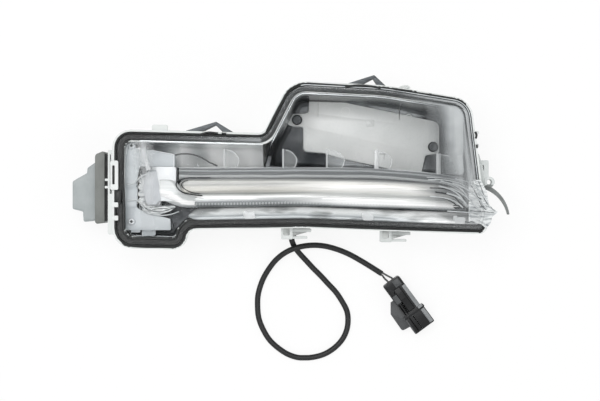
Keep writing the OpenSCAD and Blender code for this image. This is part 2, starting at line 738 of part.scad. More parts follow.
clip_seat = lip_t + 1.49;
clip_left_x = left_x + step_x * 0.671;
clip_right_x = foot_x + slope_run + top_run * 0.464;
top_tilt = atan((rim[9][1] - rim[8][1]) / (rim[9][0] - rim[8][0]));
function top_edge(x) =
  let (b = rim[8], a = x < b[0] ? rim[9] : rim[7])
  b[1] + (a[1] - b[1]) * (x - b[0]) / (a[0] - b[0]);
module top_clip_left() spring_clip(clip_left_x, arm_edge(clip_left_x) - clip_seat, -1.5, 26, 14.5);
module top_clip_right() {
  spring_clip(clip_right_x, top_edge(clip_right_x) - clip_seat / cos(top_tilt), top_tilt, 23, 10);
}

// Snap hooks on the lower edge
module snap(x, y) {
  z = plate_z - 10;
  color([0.85, 0.86, 0.86]) {
    difference() {
      block([x, y - 13, z], [9, 13, 9], 1);
      block([x + 2, y - 10, z - 1], [4.5, 6, 12], 0.8);
    }
    block([x + 8, y - 7.6, z + 2], [15, 2.4, 6], 0.6);
    block([x + 8, y - 12.6, z + 3], [12, 2, 5], 0.6);
  }
}

module bottom_snap_left() snap(foot_x + 12.2, low_edge(foot_x + 12.2) + 2.95);
module bottom_snap_right() snap(right_x - 66.7, low_edge(right_x - 57.7) + 2.95);

// Bracket at the right: plate on the wall, tab, round bush with a bore, and a curved arm
bush = [right_x + 16, arm_low + 34.8];

module side_bracket() {
  z = plate_z - 10;
  arc_c = [bush[0] - 13, bush[1] - 28.5];
  arm = [for (a = [8:3.1:70]) 28.6 * [cos(a), sin(a)]];
  arm_in = [for (a = [70:-3.1:8]) (28.6 - 1.2 - 2.4 * (a - 8) / 62) * [cos(a), sin(a)]];
  seat = inset(rim, lip_t + 1.5 - 0.02);
  foot_pt = flat(seat[6]) + [0.3, 0];
  dir = unit(flat(seat[7]) - flat(seat[6]));
  color([0.72, 0.74, 0.74])
    difference() {
      union() {
        translate([0, 0, z])
          linear_extrude(9)
            polygon([foot_pt + dir * 2, foot_pt + [9, 2], foot_pt + dir * 22 + [6, 0], foot_pt + dir * 22]);
        difference() {
          block([right_x + 8, bush[1] + 2, z], [7.5, 14.5, 9], 1);
          block([right_x + 9.6, bush[1] + 4, z - 1], [2.4, 9, 12], 0.8);
        }
        block([right_x + 8, bush[1] - 3, z], [8, 5, 9], 1);
        translate([bush[0], bush[1], z - 1]) cylinder(h = 11, r = bush_r);
        translate([arc_c[0], arc_c[1], z + 2])
          linear_extrude(6)
            polygon(concat(arm, arm_in));
      }
      translate([bush[0], bush[1], z - 3]) cylinder(h = 16, r = bush_bore_r);
    }
}

// Breather cap in the hollow behind the pad
module vent_cap() {
  z = pad_z - wall_t;
  color([0.2, 0.2, 0.21])
    translate([(pad_left + pad_right) / 2 + 3.2, (pad_low + pad_top) / 2 - 2.2, z - 3.6]) {
      difference() {
        cylinder(h = 3.6, r = 7);
        for (a = [0:60:120])
          rotate([0, 0, a]) translate([-8, -0.6, -1]) cube([16, 1.2, 2]);
      }
    }
}

// Cable: gland, route, wires and connector
gland_face = arm_low - 1;

module cable_gland() {
  color([0.16, 0.16, 0.17])
    translate([gland_x, gland_face, gland_z]) rotate([90, 0, 0]) {
      translate([0, 0, -6]) cylinder(h = 6.01, r = gland_r - 0.02);
      cylinder(h = 2, r = gland_r + 1.8);
      translate([0, 0, 2 - eps]) cylinder(h = 5, r1 = gland_r + 0.6, r2 = cable_d / 2 + 0.8);
    }
}

// The route from the gland to the end of the sheath, all of it on or near the surface
route = [
  [1.5, -58.1, 6], [1.5, -60.5, 6], [3.4, -65, 5], [7, -70, 3.6], [12, -75.5, 2.6], [18, -82, 2.2],
  [24, -88, 2.2], [30, -94.5, 2.2], [36, -101, 2.2], [41, -108.5, 2.2], [44.5, -115.5, 2.2],
  [45.5, -122.5, 2.2], [44.5, -130.5, 2.2], [41, -138, 2.2], [35, -144.5, 2.2], [27, -149.5, 2.2],
  [18, -152, 2.2], [8, -152.5, 2.2], [-1, -150, 2.2], [-9, -145, 2.2], [-16, -138.5, 2.2],
  [-21, -130.5, 2.2], [-24.5, -121.5, 2.2], [-25.5, -112, 2.2], [-25, -102.5, 2.2], [-22, -92.5, 2.3],
  [-17.5, -84, 3.4], [-11, -75.5, 5.8], [-3, -69.3, 8.6], [6, -65.6, 9.8], [16, -64, 8.8], [26, -64.5, 6.2],
  [36, -67, 3.8], [46, -71, 2.5], [56, -76.5, 2.2], [65, -82, 2.2], [72, -86.5, 2.2]
];
cable_shift = [gland_x - 1.5, gland_face + 50.8, 0];
plug_at = [78.6, -91.8];
plug_turn = -53.6;

module cable() {
  color([0.23, 0.23, 0.23])
    translate(cable_shift)
      tube(smooth(route, 2), cable_d / 2, 10);
}

module at_plug() {
  translate(cable_shift + [plug_at[0], plug_at[1], 0])
    rotate([0, 0, plug_turn])
      children();
}

// Two wires leave the sheath side by side and enter the holes of the connector's seal
wire_pitch = 4.2;

module connector_wires() {
  last = route[len(route) - 1];
  d = unit(last - route[len(route) - 2]);
  v = [-d[1], d[0], 0];
  pd = [cos(plug_turn), sin(plug_turn), 0];
  pv = [-pd[1], pd[0], 0];
  back = [plug_at[0], plug_at[1], plug_h / 2];
  color("dimgray")
    translate(cable_shift)
      for (s = [-1, 1])
        tube([last + d * 0.1 + v * s * 0.95, last + d * 1.2 + v * s * 0.95,
          (last + back) / 2 + (v + pv) * s * 0.8, back - pd * 1.2 + pv * s * wire_pitch / 2,
          back + pd * 0.7 + pv * s * wire_pitch / 2], wire_d / 2, 8);
}

module connector_body() {
  w = plug_w / 2;
  body = [[0, -w, 1.5], [plug_l - 14, -w, 0.5], [plug_l - 13.5, -w - 1.6, 0.5], [plug_l, -w - 1.6, 1],
    [plug_l, w + 1.6, 1], [plug_l - 13.5, w + 1.6, 0.5], [plug_l - 14, w, 0.5], [0, w, 1.5]];
  wing = [[14, -w + 1, 0.5], [14, -w - 2.5, 0.5], [21.5, -w - 8, 2], [37, -w - 8.4, 2], [38.3, -w, 1]];
  color([0.1, 0.1, 0.11])
    at_plug()
      difference() {
        union() {
          slab(body, 0, plug_h);
          slab(wing, 2, plug_h - 5);
          block([plug_l - 16, -w - 2.2, 0], [2.2, plug_w + 4.4, plug_h + 0.8], 0.8);
        }
        block([plug_l - 16, -w + 0.6, 2], [20, plug_w - 1.2, plug_h - 4], 2);
        translate([-1, 0, plug_h / 2]) rotate([0, 90, 0]) cylinder(h = 7, r = 4.4);
        block([7, -2.8, plug_h - 2.5], [plug_l - 24, 5.6, 5], 0.6);
        for (s = [-1, 1])
          block([3, s * (w - 1.6) - 0.5, plug_h - 0.8], [plug_l - 21, 1, 2], 0.3);
      }
}

module connector_lock() {
  color([0.16, 0.16, 0.17])
    at_plug()
      union() {
        block([7.4, -2.4, plug_h - 2.5], [plug_l - 25, 4.8, 2.6], 0.6);
        block([11, -2.4, plug_h - 1], [6, 4.8, 2.6], 0.6);
      }
}

module connector_seal() {
  color([0.75, 0.45, 0.2])
    at_plug()
      translate([0.8, 0, plug_h / 2]) rotate([0, 90, 0])
        difference() {
          cylinder(h = 4.6, r = 4.3);
          for (s = [-1, 1])
            translate([0, s * wire_pitch / 2, -1]) cylinder(h = 7, r = wire_d / 2 + 0.1);
        }
}

module connector_terminals() {
  color("goldenrod")
    at_plug()
      for (s = [-1, 1])
        block([plug_l - 16, s * 3.2 - 0.8, plug_h / 2 - 0.4], [9, 1.6, 0.8], 0.3);
}

housing();
mount_posts();
seal_bead();
outer_lens();
reflector();
reflector_screws();
light_guide();
lower_trim();
led_holder();
collimator();
led_board();
led_chips();
heat_sink();
module_carrier();
carrier_screws();
lead_wire();
driver_box();
driver_collar();
driver_gasket();
driver_screws();
side_clip();
top_clip_left();
top_clip_right();
bottom_snap_left();
bottom_snap_right();
side_bracket();
vent_cap();
cable_gland();
cable();
connector_wires();
connector_body();
connector_lock();
connector_seal();
connector_terminals();
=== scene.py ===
# Daytime running light with a light guide, lying on its back with the lens up.
import math
import bmesh
import bpy
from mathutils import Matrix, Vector


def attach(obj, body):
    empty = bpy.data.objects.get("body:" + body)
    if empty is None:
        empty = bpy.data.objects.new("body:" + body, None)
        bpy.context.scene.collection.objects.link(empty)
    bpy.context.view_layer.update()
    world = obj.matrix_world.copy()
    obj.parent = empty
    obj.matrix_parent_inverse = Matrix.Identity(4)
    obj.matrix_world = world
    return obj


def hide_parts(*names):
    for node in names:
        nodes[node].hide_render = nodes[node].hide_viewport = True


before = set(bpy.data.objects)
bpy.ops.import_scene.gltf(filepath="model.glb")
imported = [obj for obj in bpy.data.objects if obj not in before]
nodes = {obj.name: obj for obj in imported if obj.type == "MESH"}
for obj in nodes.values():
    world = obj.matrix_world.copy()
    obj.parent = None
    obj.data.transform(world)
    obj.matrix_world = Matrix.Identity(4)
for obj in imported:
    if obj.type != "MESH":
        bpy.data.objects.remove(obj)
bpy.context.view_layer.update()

MM = 0.001
scene = bpy.context.scene
scene.view_settings.view_transform = "Standard"


# Camera straight above the lamp. The picture is 450 mm wide at the lens's rim, 1192 mm below the camera
sensor_wide, rim_distance, picture_wide = 36, 1192, 450
camera_data = bpy.data.cameras.new("camera")
camera_data.sensor_width = sensor_wide
camera_data.lens = sensor_wide * rim_distance / picture_wide
camera_data.clip_start = 0.05
camera_data.clip_end = 20
camera = bpy.data.objects.new("camera", camera_data)
camera.location = (0.0078, -0.029, 1.25)
scene.collection.objects.link(camera)
scene.camera = camera


# Cable: the route's points in metres, from the gland to the end of the sheath
cable_route = [
    (0.0015, -0.0581, 0.006), (0.0015, -0.0605, 0.006), (0.0034, -0.065, 0.005), (0.007, -0.07, 0.0036),
    (0.012, -0.0755, 0.0026), (0.018, -0.082, 0.0022), (0.024, -0.088, 0.0022), (0.03, -0.0945, 0.0022),
    (0.036, -0.101, 0.0022), (0.041, -0.1085, 0.0022), (0.0445, -0.1155, 0.0022), (0.0455, -0.1225, 0.0022),
    (0.0445, -0.1305, 0.0022), (0.041, -0.138, 0.0022), (0.035, -0.1445, 0.0022), (0.027, -0.1495, 0.0022),
    (0.018, -0.152, 0.0022), (0.008, -0.1525, 0.0022), (-0.001, -0.15, 0.0022), (-0.009, -0.145, 0.0022),
    (-0.016, -0.1385, 0.0022), (-0.021, -0.1305, 0.0022), (-0.0245, -0.1215, 0.0022),
    (-0.0255, -0.112, 0.0022), (-0.025, -0.1025, 0.0022), (-0.022, -0.0925, 0.0023),
    (-0.0175, -0.084, 0.0034), (-0.011, -0.0755, 0.0058), (-0.003, -0.0693, 0.0086), (0.006, -0.0656, 0.0098),
    (0.016, -0.064, 0.0088), (0.026, -0.0645, 0.0062), (0.036, -0.067, 0.0038), (0.046, -0.071, 0.0025),
    (0.056, -0.0765, 0.0022), (0.065, -0.082, 0.0022), (0.072, -0.0865, 0.0022),
]
cable_diameter = 0.0044
loop_end = -0.15245


def smooth_line(points, steps):
    """A smooth line through the points, worked out as the solid's own route is."""
    p = [Vector(point) for point in points]
    line = []
    for i in range(len(p) - 1):
        a, b, c, d = p[max(i - 1, 0)], p[i], p[i + 1], p[min(i + 2, len(p) - 1)]
        for j in range(steps):
            t = j / steps
            line.append(0.5 * (2 * b + (c - a) * t + (2 * a - 5 * b + 4 * c - d) * t * t
                               + (3 * b - a - 3 * c + d) * t * t * t))
    line.append(p[-1])
    return line


def strand_rings(line, radius, sides):
    """Rings of points round a line, for a round strand."""
    rings = []
    for i, place in enumerate(line):
        along = (line[min(i + 1, len(line) - 1)] - line[max(i - 1, 0)]).normalized()
        u = Vector((0, 0, 1)).cross(along).normalized()
        v = along.cross(u)
        turns = [math.tau * j / sides for j in range(sides)]
        rings.append([place + radius * (u * math.cos(turn) + v * math.sin(turn)) for turn in turns])
    return rings


def skin(rings, loop=False, ends=True):
    """Points and faces of a skin through rings of equal count. A loop joins its last ring to its first."""
    n, k = len(rings[0]), len(rings)
    points = [p for ring in rings for p in ring]
    faces = []
    for j in range(k if loop else k - 1):
        for i in range(n):
            a, b = j * n + i, j * n + (i + 1) % n
            c, d = ((j + 1) % k) * n + (i + 1) % n, ((j + 1) % k) * n + i
            faces.append([a, b, c, d])
    if ends and not loop:
        faces += [list(range(n))[::-1], [(k - 1) * n + i for i in range(n)]]
    return points, faces


cable_line = smooth_line(cable_route, 6)
for place in cable_line:
    # The sheath rests on the floor, and the loop's near end is a little flat
    place.y = max(place.y, loop_end)
    place.z = max(place.z, cable_diameter / 2)
cable_points, cable_faces = skin(strand_rings(cable_line, cable_diameter / 2, 20))
cable_mesh = bpy.data.meshes.new("cable_sheath")
cable_mesh.from_pydata(cable_points, [], cable_faces)
cable = bpy.data.objects.new("cable_sheath", cable_mesh)
scene.collection.objects.link(cable)
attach(cable, "root")
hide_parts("cable")


# Materials
def linear(code):
    """An sRGB hex colour as linear values."""
    parts = [int(code[i:i + 2], 16) / 255 for i in (0, 2, 4)]
    return tuple(p / 12.92 if p <= 0.04045 else ((p + 0.055) / 1.055) ** 2.4 for p in parts) + (1.0,)


def finish(name):
    """An empty material with its surface shader, output and the object's coordinates."""
    material = bpy.data.materials.new(name)
    material.use_nodes = True
    material.node_tree.nodes.clear()
    surface = node(material, "BsdfPrincipled")
    node(material, "OutputMaterial", {"Surface": surface.outputs[0]})
    return material, surface, node(material, "TexCoord").outputs["Object"]


def node(owner, kind, inputs=None, stops=None, **settings):
    """Adds a shader node to a material or the world, with its settings, ramp stops and inputs."""
    made = owner.node_tree.nodes.new("ShaderNode" + kind)
    for key, value in settings.items():
        setattr(made, key, value)
    for place, value in enumerate(stops or []):
        while len(made.color_ramp.elements) < len(stops):
            made.color_ramp.elements.new(0.5)
        made.color_ramp.elements[place].position = value[0]
        made.color_ramp.elements[place].color = linear(value[1])
    link(owner, made, inputs or {})
    return made


def link(owner, shader, inputs):
    """Fills a shader node's inputs: a socket is linked, any other value is set."""
    for key, value in inputs.items():
        if isinstance(value, bpy.types.NodeSocket):
            owner.node_tree.links.new(value, shader.inputs[key])
        else:
            shader.inputs[key].default_value = value


def wandering(material, field, noise, spread, low=0.0, high=1.0):
    """A field's value moved up and down by a noise, so that what it places drifts over the piece."""
    shift = node(material, "MapRange", {"Value": noise.outputs["Fac"], "From Min": low, "From Max": high,
                                        "To Min": -spread, "To Max": spread})
    return node(material, "Math", {0: field, 1: shift.outputs["Result"]}, operation="ADD").outputs["Value"]


def moulded(name, light, dark, roughness, grain_mm, bump_mm=0.02, patch_mm=30, **sockets):
    """Moulded plastic or rubber: a fine grain from the tool, and a colour that drifts a little."""
    material, surface, place = finish(name)
    patches = node(material, "TexNoise", {"Vector": place, "Scale": 1000 / patch_mm, "Detail": 3.0})
    tint = node(material, "ValToRGB", {"Fac": patches.outputs["Fac"]}, stops=[(0.35, dark), (0.65, light)])
    grain = node(material, "TexNoise", {"Vector": place, "Scale": 1000 / grain_mm, "Detail": 2.0})
    rough = node(material, "MapRange", {"Value": grain.outputs["Fac"], "From Min": 0.3, "From Max": 0.7,
                                        "To Min": roughness - 0.06, "To Max": roughness + 0.06})
    bump = node(material, "Bump", {"Height": grain.outputs["Fac"], "Strength": 0.6,
                                   "Distance": bump_mm * MM})
    link(material, surface, {"Base Color": tint.outputs["Color"], "Roughness": rough.outputs["Result"],
                             "Normal": bump.outputs["Normal"], **sockets})
    return material


def metal(name, light, dark, roughness, grain_mm, stretch=(1, 1, 1)):
    """Bare or plated metal: grain drawn out along the way it was rolled or machined."""
    material, surface, place = finish(name)
    drawn = node(material, "Mapping", {"Vector": place, "Scale": stretch})
    grain = node(material, "TexNoise", {"Vector": drawn.outputs["Vector"], "Scale": 1000 / grain_mm,
                                        "Detail": 4.0})
    tint = node(material, "ValToRGB", {"Fac": grain.outputs["Fac"]}, stops=[(0.3, dark), (0.7, light)])
    rough = node(material, "MapRange", {"Value": grain.outputs["Fac"], "To Min": roughness - 0.08,
                                        "To Max": roughness + 0.08})
    bump = node(material, "Bump", {"Height": grain.outputs["Fac"], "Strength": 0.5, "Distance": 0.01 * MM})
    link(material, surface, {"Base Color": tint.outputs["Color"], "Metallic": 1.0,
                             "Roughness": rough.outputs["Result"], "Normal": bump.outputs["Normal"]})
    return material


def clear_moulding(name, tint, face, edge, ior, roughness=0.04):
    """Clear plastic about 2 mm thick: almost unseen face on, milky and shining along its steep edges."""
    material, surface, place = finish(name)
    facing = node(material, "LayerWeight", {"Blend": 0.5})
    cover = node(material, "MapRange", {"Value": facing.outputs["Facing"], "From Min": 0.35, "From Max": 0.98,
                                        "To Min": face, "To Max": edge})
    flow = node(material, "TexNoise", {"Vector": place, "Scale": 1000 / 14, "Detail": 2.0})
    rough = node(material, "MapRange", {"Value": flow.outputs["Fac"], "To Min": roughness,
                                        "To Max": roughness + 0.06})
    link(material, surface, {"Base Color": linear(tint), "Alpha": cover.outputs["Result"], "IOR": ior,
                             "Roughness": rough.outputs["Result"]})
    return material


# Housing: talc filled polypropylene, moulded and left matt. The filler gives a chalky, cool light grey
housing_plastic = moulded("housing_polypropylene", "dcdfde", "d2d6d4", 0.5, 0.9, patch_mm=60, IOR=1.49)
# Face of the housing's pad: the same polypropylene, smoother, and painted paler than the housing as painted
# light in the deep bowl
pad_painted_light = moulded("pad_polypropylene_painted_light", "eceeed", "e0e3e2", 0.3, 1.2, bump_mm=0.01, patch_mm=40,
                        IOR=1.49)
# Bead: butyl sealant pressed into the channel. It stays soft, so it is black with a dull, uneven shine
seal_rubber = moulded("butyl_sealant", "171a1a", "0b0d0d", 0.5, 2.2, bump_mm=0.05, patch_mm=9, IOR=1.45)


# Outer lens: hard coated polycarbonate. Its foot and upright wall carry painted light of the bowl's wall
# behind them, painted pale at the right and grey along the top, and unseen over the black bead elsewhere
def veiled(name):
    material, surface, place = finish(name)
    film = node(material, "Attribute", attribute_name="film").outputs["Fac"]
    veil = node(material, "Attribute", attribute_name="veil").outputs["Fac"]
    shade = node(material, "Attribute", attribute_name="shade").outputs["Fac"]
    facing = node(material, "LayerWeight", {"Blend": 0.5})
    cover = node(material, "MapRange", {"Value": facing.outputs["Facing"], "From Min": 0.3, "From Max": 0.85,
                                        "To Min": film, "To Max": veil})
    flow = node(material, "TexNoise", {"Vector": place, "Scale": 1000 / 18, "Detail": 2.0})
    tint = node(material, "ValToRGB", {"Fac": wandering(material, shade, flow, 0.12, 0.3, 0.7)},
                stops=[(0.0, "4c4f50"), (0.35, "84888a"), (0.75, "b3b7b9"), (1.0, "cdd1d2")])
    link(material, surface, {"Base Color": tint.outputs["Color"], "Alpha": cover.outputs["Result"],
                             "IOR": 1.58, "Roughness": 0.06})
    return material


clear_polycarbonate = veiled("clear_polycarbonate")


# Lens's flange over the right end, and the collimator: thick clear plastic, full of inner reflections,
# painted here as glints that look like wet ice over what is dark below it, with painted shade on its steep
# faces
def icy(name):
    material, surface, place = finish(name)
    turned = node(material, "Mapping", {"Vector": place, "Rotation": (0, 0, 0.5), "Scale": (90, 260, 1)})
    glints = node(material, "TexNoise", {"Vector": turned.outputs["Vector"], "Scale": 1.0, "Detail": 3.0,
                                         "Distortion": 0.8})
    tint = node(material, "ValToRGB", {"Fac": glints.outputs["Fac"]}, stops=[
        (0.3, "5d6264"), (0.38, "a9aeb0"), (0.47, "d3d7d8"), (0.55, "f0f3f3"), (0.62, "bcc1c2"),
        (0.7, "8f9496")])
    facing = node(material, "LayerWeight", {"Blend": 0.5})
    steep = node(material, "MapRange", {"Value": facing.outputs["Facing"], "From Min": 0.15, "From Max": 0.4})
    edged = node(material, "Mix", {0: steep.outputs["Result"], 6: tint.outputs["Color"], 7: linear("6f7476")},
                 data_type="RGBA")
    link(material, surface, {"Base Color": edged.outputs[2], "Alpha": 0.9, "IOR": 1.58, "Roughness": 0.1})
    return material


glint_painted_polycarbonate = icy("thick_glint_polycarbonate")
# Pale edges of the clear pieces: painted highlights for the light they gather from the whole piece
painted_highlight_edge = moulded("polycarbonate_painted_highlight", "d3d7d8", "bfc4c6", 0.15, 0.8, bump_mm=0.01, patch_mm=9, IOR=1.58)
# Ridges and creases of the clear pieces: thin grey lines painted dark, a painted reflection of what is dark
# behind them
painted_dark_ridges = moulded("polycarbonate_painted_dark_lines", "5a5f61", "454a4c", 0.2, 0.8, bump_mm=0.01, patch_mm=5,
                              IOR=1.58)
# Light guide's tabs: clear acrylic
clear_acrylic = clear_moulding("clear_acrylic", "dfe4e5", 0.1, 0.85, 1.49)
# Trim's tabs, and the light guide's ribs and rolled edges: acrylic with rough edges, so a little milkier. Its
# pale strands on the rolled edges and fins are painted highlights
milky_highlight_acrylic = clear_moulding("milled_highlight_acrylic", "eef1f2", 0.5, 0.95, 1.49, roughness=0.15)
# Holder and the carrier's bright rib: white nylon, smooth from a polished tool. Along the carrier's edges the
# same white is a painted highlight
nylon_white_and_highlight = moulded("nylon_white_and_highlight", "e9ecee", "e0e3e5", 0.36, 0.7, bump_mm=0.01, patch_mm=14, IOR=1.53)
# Carrier: a filled ABS blend, smooth and light grey
carrier_abs = moulded("carrier_abs", "bfc5c8", "b5bbbf", 0.34, 0.8, bump_mm=0.01, patch_mm=22, IOR=1.54)
# Face over the holder: the same blend, painted paler than the carrier as painted light
painted_light_abs = moulded("painted_light_abs", "c9cdd1", "bdc2c6", 0.3, 0.8, bump_mm=0.01, patch_mm=12, IOR=1.54)
# Circuit board: epoxy glass under white solder mask on an aluminium core
solder_mask = moulded("solder_mask", "e4e7e4", "d4d8d4", 0.3, 0.5, bump_mm=0.006, patch_mm=8)
# Light source: silicone filled with yellow phosphor
phosphor = moulded("phosphor_silicone", "f2e08a", "e8d070", 0.35, 0.3, patch_mm=3)
# Heat sink: bare extruded aluminium
bare_aluminium = metal("extruded_aluminium", "c9cbcc", "a8abad", 0.38, 0.6, stretch=(1, 1, 0.06))
# Screws: zinc plated steel, bright and slightly blue
zinc_steel = metal("zinc_plated_steel", "c2c5c8", "9a9ea3", 0.32, 0.5)
# Carrier's screws: steel dipped in light grey zinc flake paint, matt as the carrier round them
flake_coat = moulded("zinc_flake_coat", "c9cdd0", "c0c4c7", 0.45, 0.4, bump_mm=0.01, patch_mm=5, Metallic=0.2)
# Reflector's screws: steel with a black coat
dark_steel = metal("blackened_steel", "46484a", "333536", 0.42, 0.4)
# Lead: PVC over copper strands
wire_pvc = moulded("lead_pvc", "4a4c4d", "3c3e3f", 0.4, 0.4, patch_mm=6)
# Driver: glass filled PBT, the fibres leave a slightly cloudy grey skin
driver_pbt = moulded("driver_pbt", "a2a8a9", "969d9e", 0.46, 0.9, bump_mm=0.03, patch_mm=16, IOR=1.55)
# Collar: warmer grey thermoplastic elastomer
collar_elastomer = moulded("collar_elastomer", "737673", "686b68", 0.55, 0.8, bump_mm=0.03, patch_mm=12)
# Gasket and gland: foamed rubber
gasket_foam = moulded("gasket_foam", "2b2c2c", "1b1c1c", 0.8, 0.7, bump_mm=0.1, patch_mm=4)
# Clips: strip steel, rolled along the strip and phosphated to a dull grey
spring_steel = metal("strip_steel", "55585a", "2c2e30", 0.4, 0.5, stretch=(0.08, 1, 1))
# Snap hooks: natural acetal, a little translucent at thin edges
acetal = moulded("natural_acetal", "cfd2d1", "c0c4c3", 0.36, 0.8, bump_mm=0.01, patch_mm=14, IOR=1.48,
                 **{"Subsurface Weight": 0.15, "Subsurface Radius": (0.003, 0.003, 0.003)})
# Webs of the snap hooks: the same plastic in a greyer copy, painted shade between the hook's arms, in
# drifting patches
painted_shade_acetal_web = moulded("painted_shade_acetal_web", "b4b7b5", "7e8180", 0.45, 0.5, bump_mm=0.01, patch_mm=6)
# Bracket: polypropylene, thinner and greyer than the housing
bracket_pp = moulded("bracket_polypropylene", "cdd1d0", "bcc1c0", 0.42, 0.8, patch_mm=12, IOR=1.49)
# Bracket's arm: a soft grey sleeve of thermoplastic elastomer
arm_elastomer = moulded("arm_elastomer", "747877", "646867", 0.5, 0.8, patch_mm=8)
# Sheath: soft PVC, matt with faint length lines from the die
sheath_pvc = moulded("sheath_pvc", "1a1b1c", "131415", 0.48, 0.7, bump_mm=0.03, patch_mm=12, IOR=1.53,
                     **{"Specular IOR Level": 0.3})
# Connector: black PBT, fine spark grain from the tool
black_pbt = moulded("black_pbt", "131416", "0c0d0f", 0.38, 0.5, bump_mm=0.03, patch_mm=10, IOR=1.55,
                   **{"Specular IOR Level": 0.22})
# Connector's flank: the same PBT, a little glossier, painted light grey as a painted reflection of the light
# it throws back
painted_sheen_pbt = moulded("painted_sheen_pbt", "85888a", "6d7072", 0.3, 0.6, bump_mm=0.01, patch_mm=12, IOR=1.55)
# Head of the plug: the same PBT from a fine matt tool, painted dark grey as painted light that the matt face
# spreads
satin_painted_light_pbt = moulded("satin_painted_light_pbt", "3c3e40", "303234", 0.5, 0.6, bump_mm=0.02, patch_mm=6)
# Wire seal: orange silicone
silicone = moulded("orange_silicone", "d9772c", "c96a24", 0.5, 0.6, patch_mm=4)
# Contacts: tin plated brass
tinned_brass = metal("tin_plated_brass", "cbbf9c", "a99c78", 0.3, 0.4)


# Reflector: vacuum metallised plastic under a smoked lacquer. Its light and dark are painted place by place:
# its floor reflects little and is painted dark, and painted reflections of light lie on its slopes and edges
def metallised(name):
    material, surface, place = finish(name)
    tone = node(material, "Attribute", attribute_name="tone").outputs["Fac"]
    cloud = node(material, "TexNoise", {"Vector": place, "Scale": 1000 / 26, "Detail": 2.0,
                                        "Distortion": 0.6})
    level = wandering(material, tone, cloud, 0.09, 0.3, 0.7)
    tint = node(material, "ValToRGB", {"Fac": level}, stops=[
        (0.0, "1a1c1e"), (0.16, "3f4143"), (0.28, "626567"), (0.5, "969a9c"), (0.75, "cbcfd0"),
        (1.0, "fafbfb")])
    ripple = node(material, "TexNoise", {"Vector": place, "Scale": 1000 / 9, "Detail": 1.0})
    bump = node(material, "Bump", {"Height": ripple.outputs["Fac"], "Strength": 0.4, "Distance": 0.1 * MM})
    gloss = node(material, "MapRange", {"Value": level, "From Max": 0.3, "To Min": 0.05, "To Max": 0.5})
    coat = node(material, "MapRange", {"Value": level, "From Min": 0.5, "From Max": 1.0, "To Min": 0.55,
                                       "To Max": 0.2})
    link(material, surface, {"Base Color": tint.outputs["Color"], "Metallic": coat.outputs["Result"],
                             "Roughness": 0.24, "Specular IOR Level": gloss.outputs["Result"],
                             "Normal": bump.outputs["Normal"]})
    return material


metallised_painted_light = metallised("smoked_metallised_painted_light")


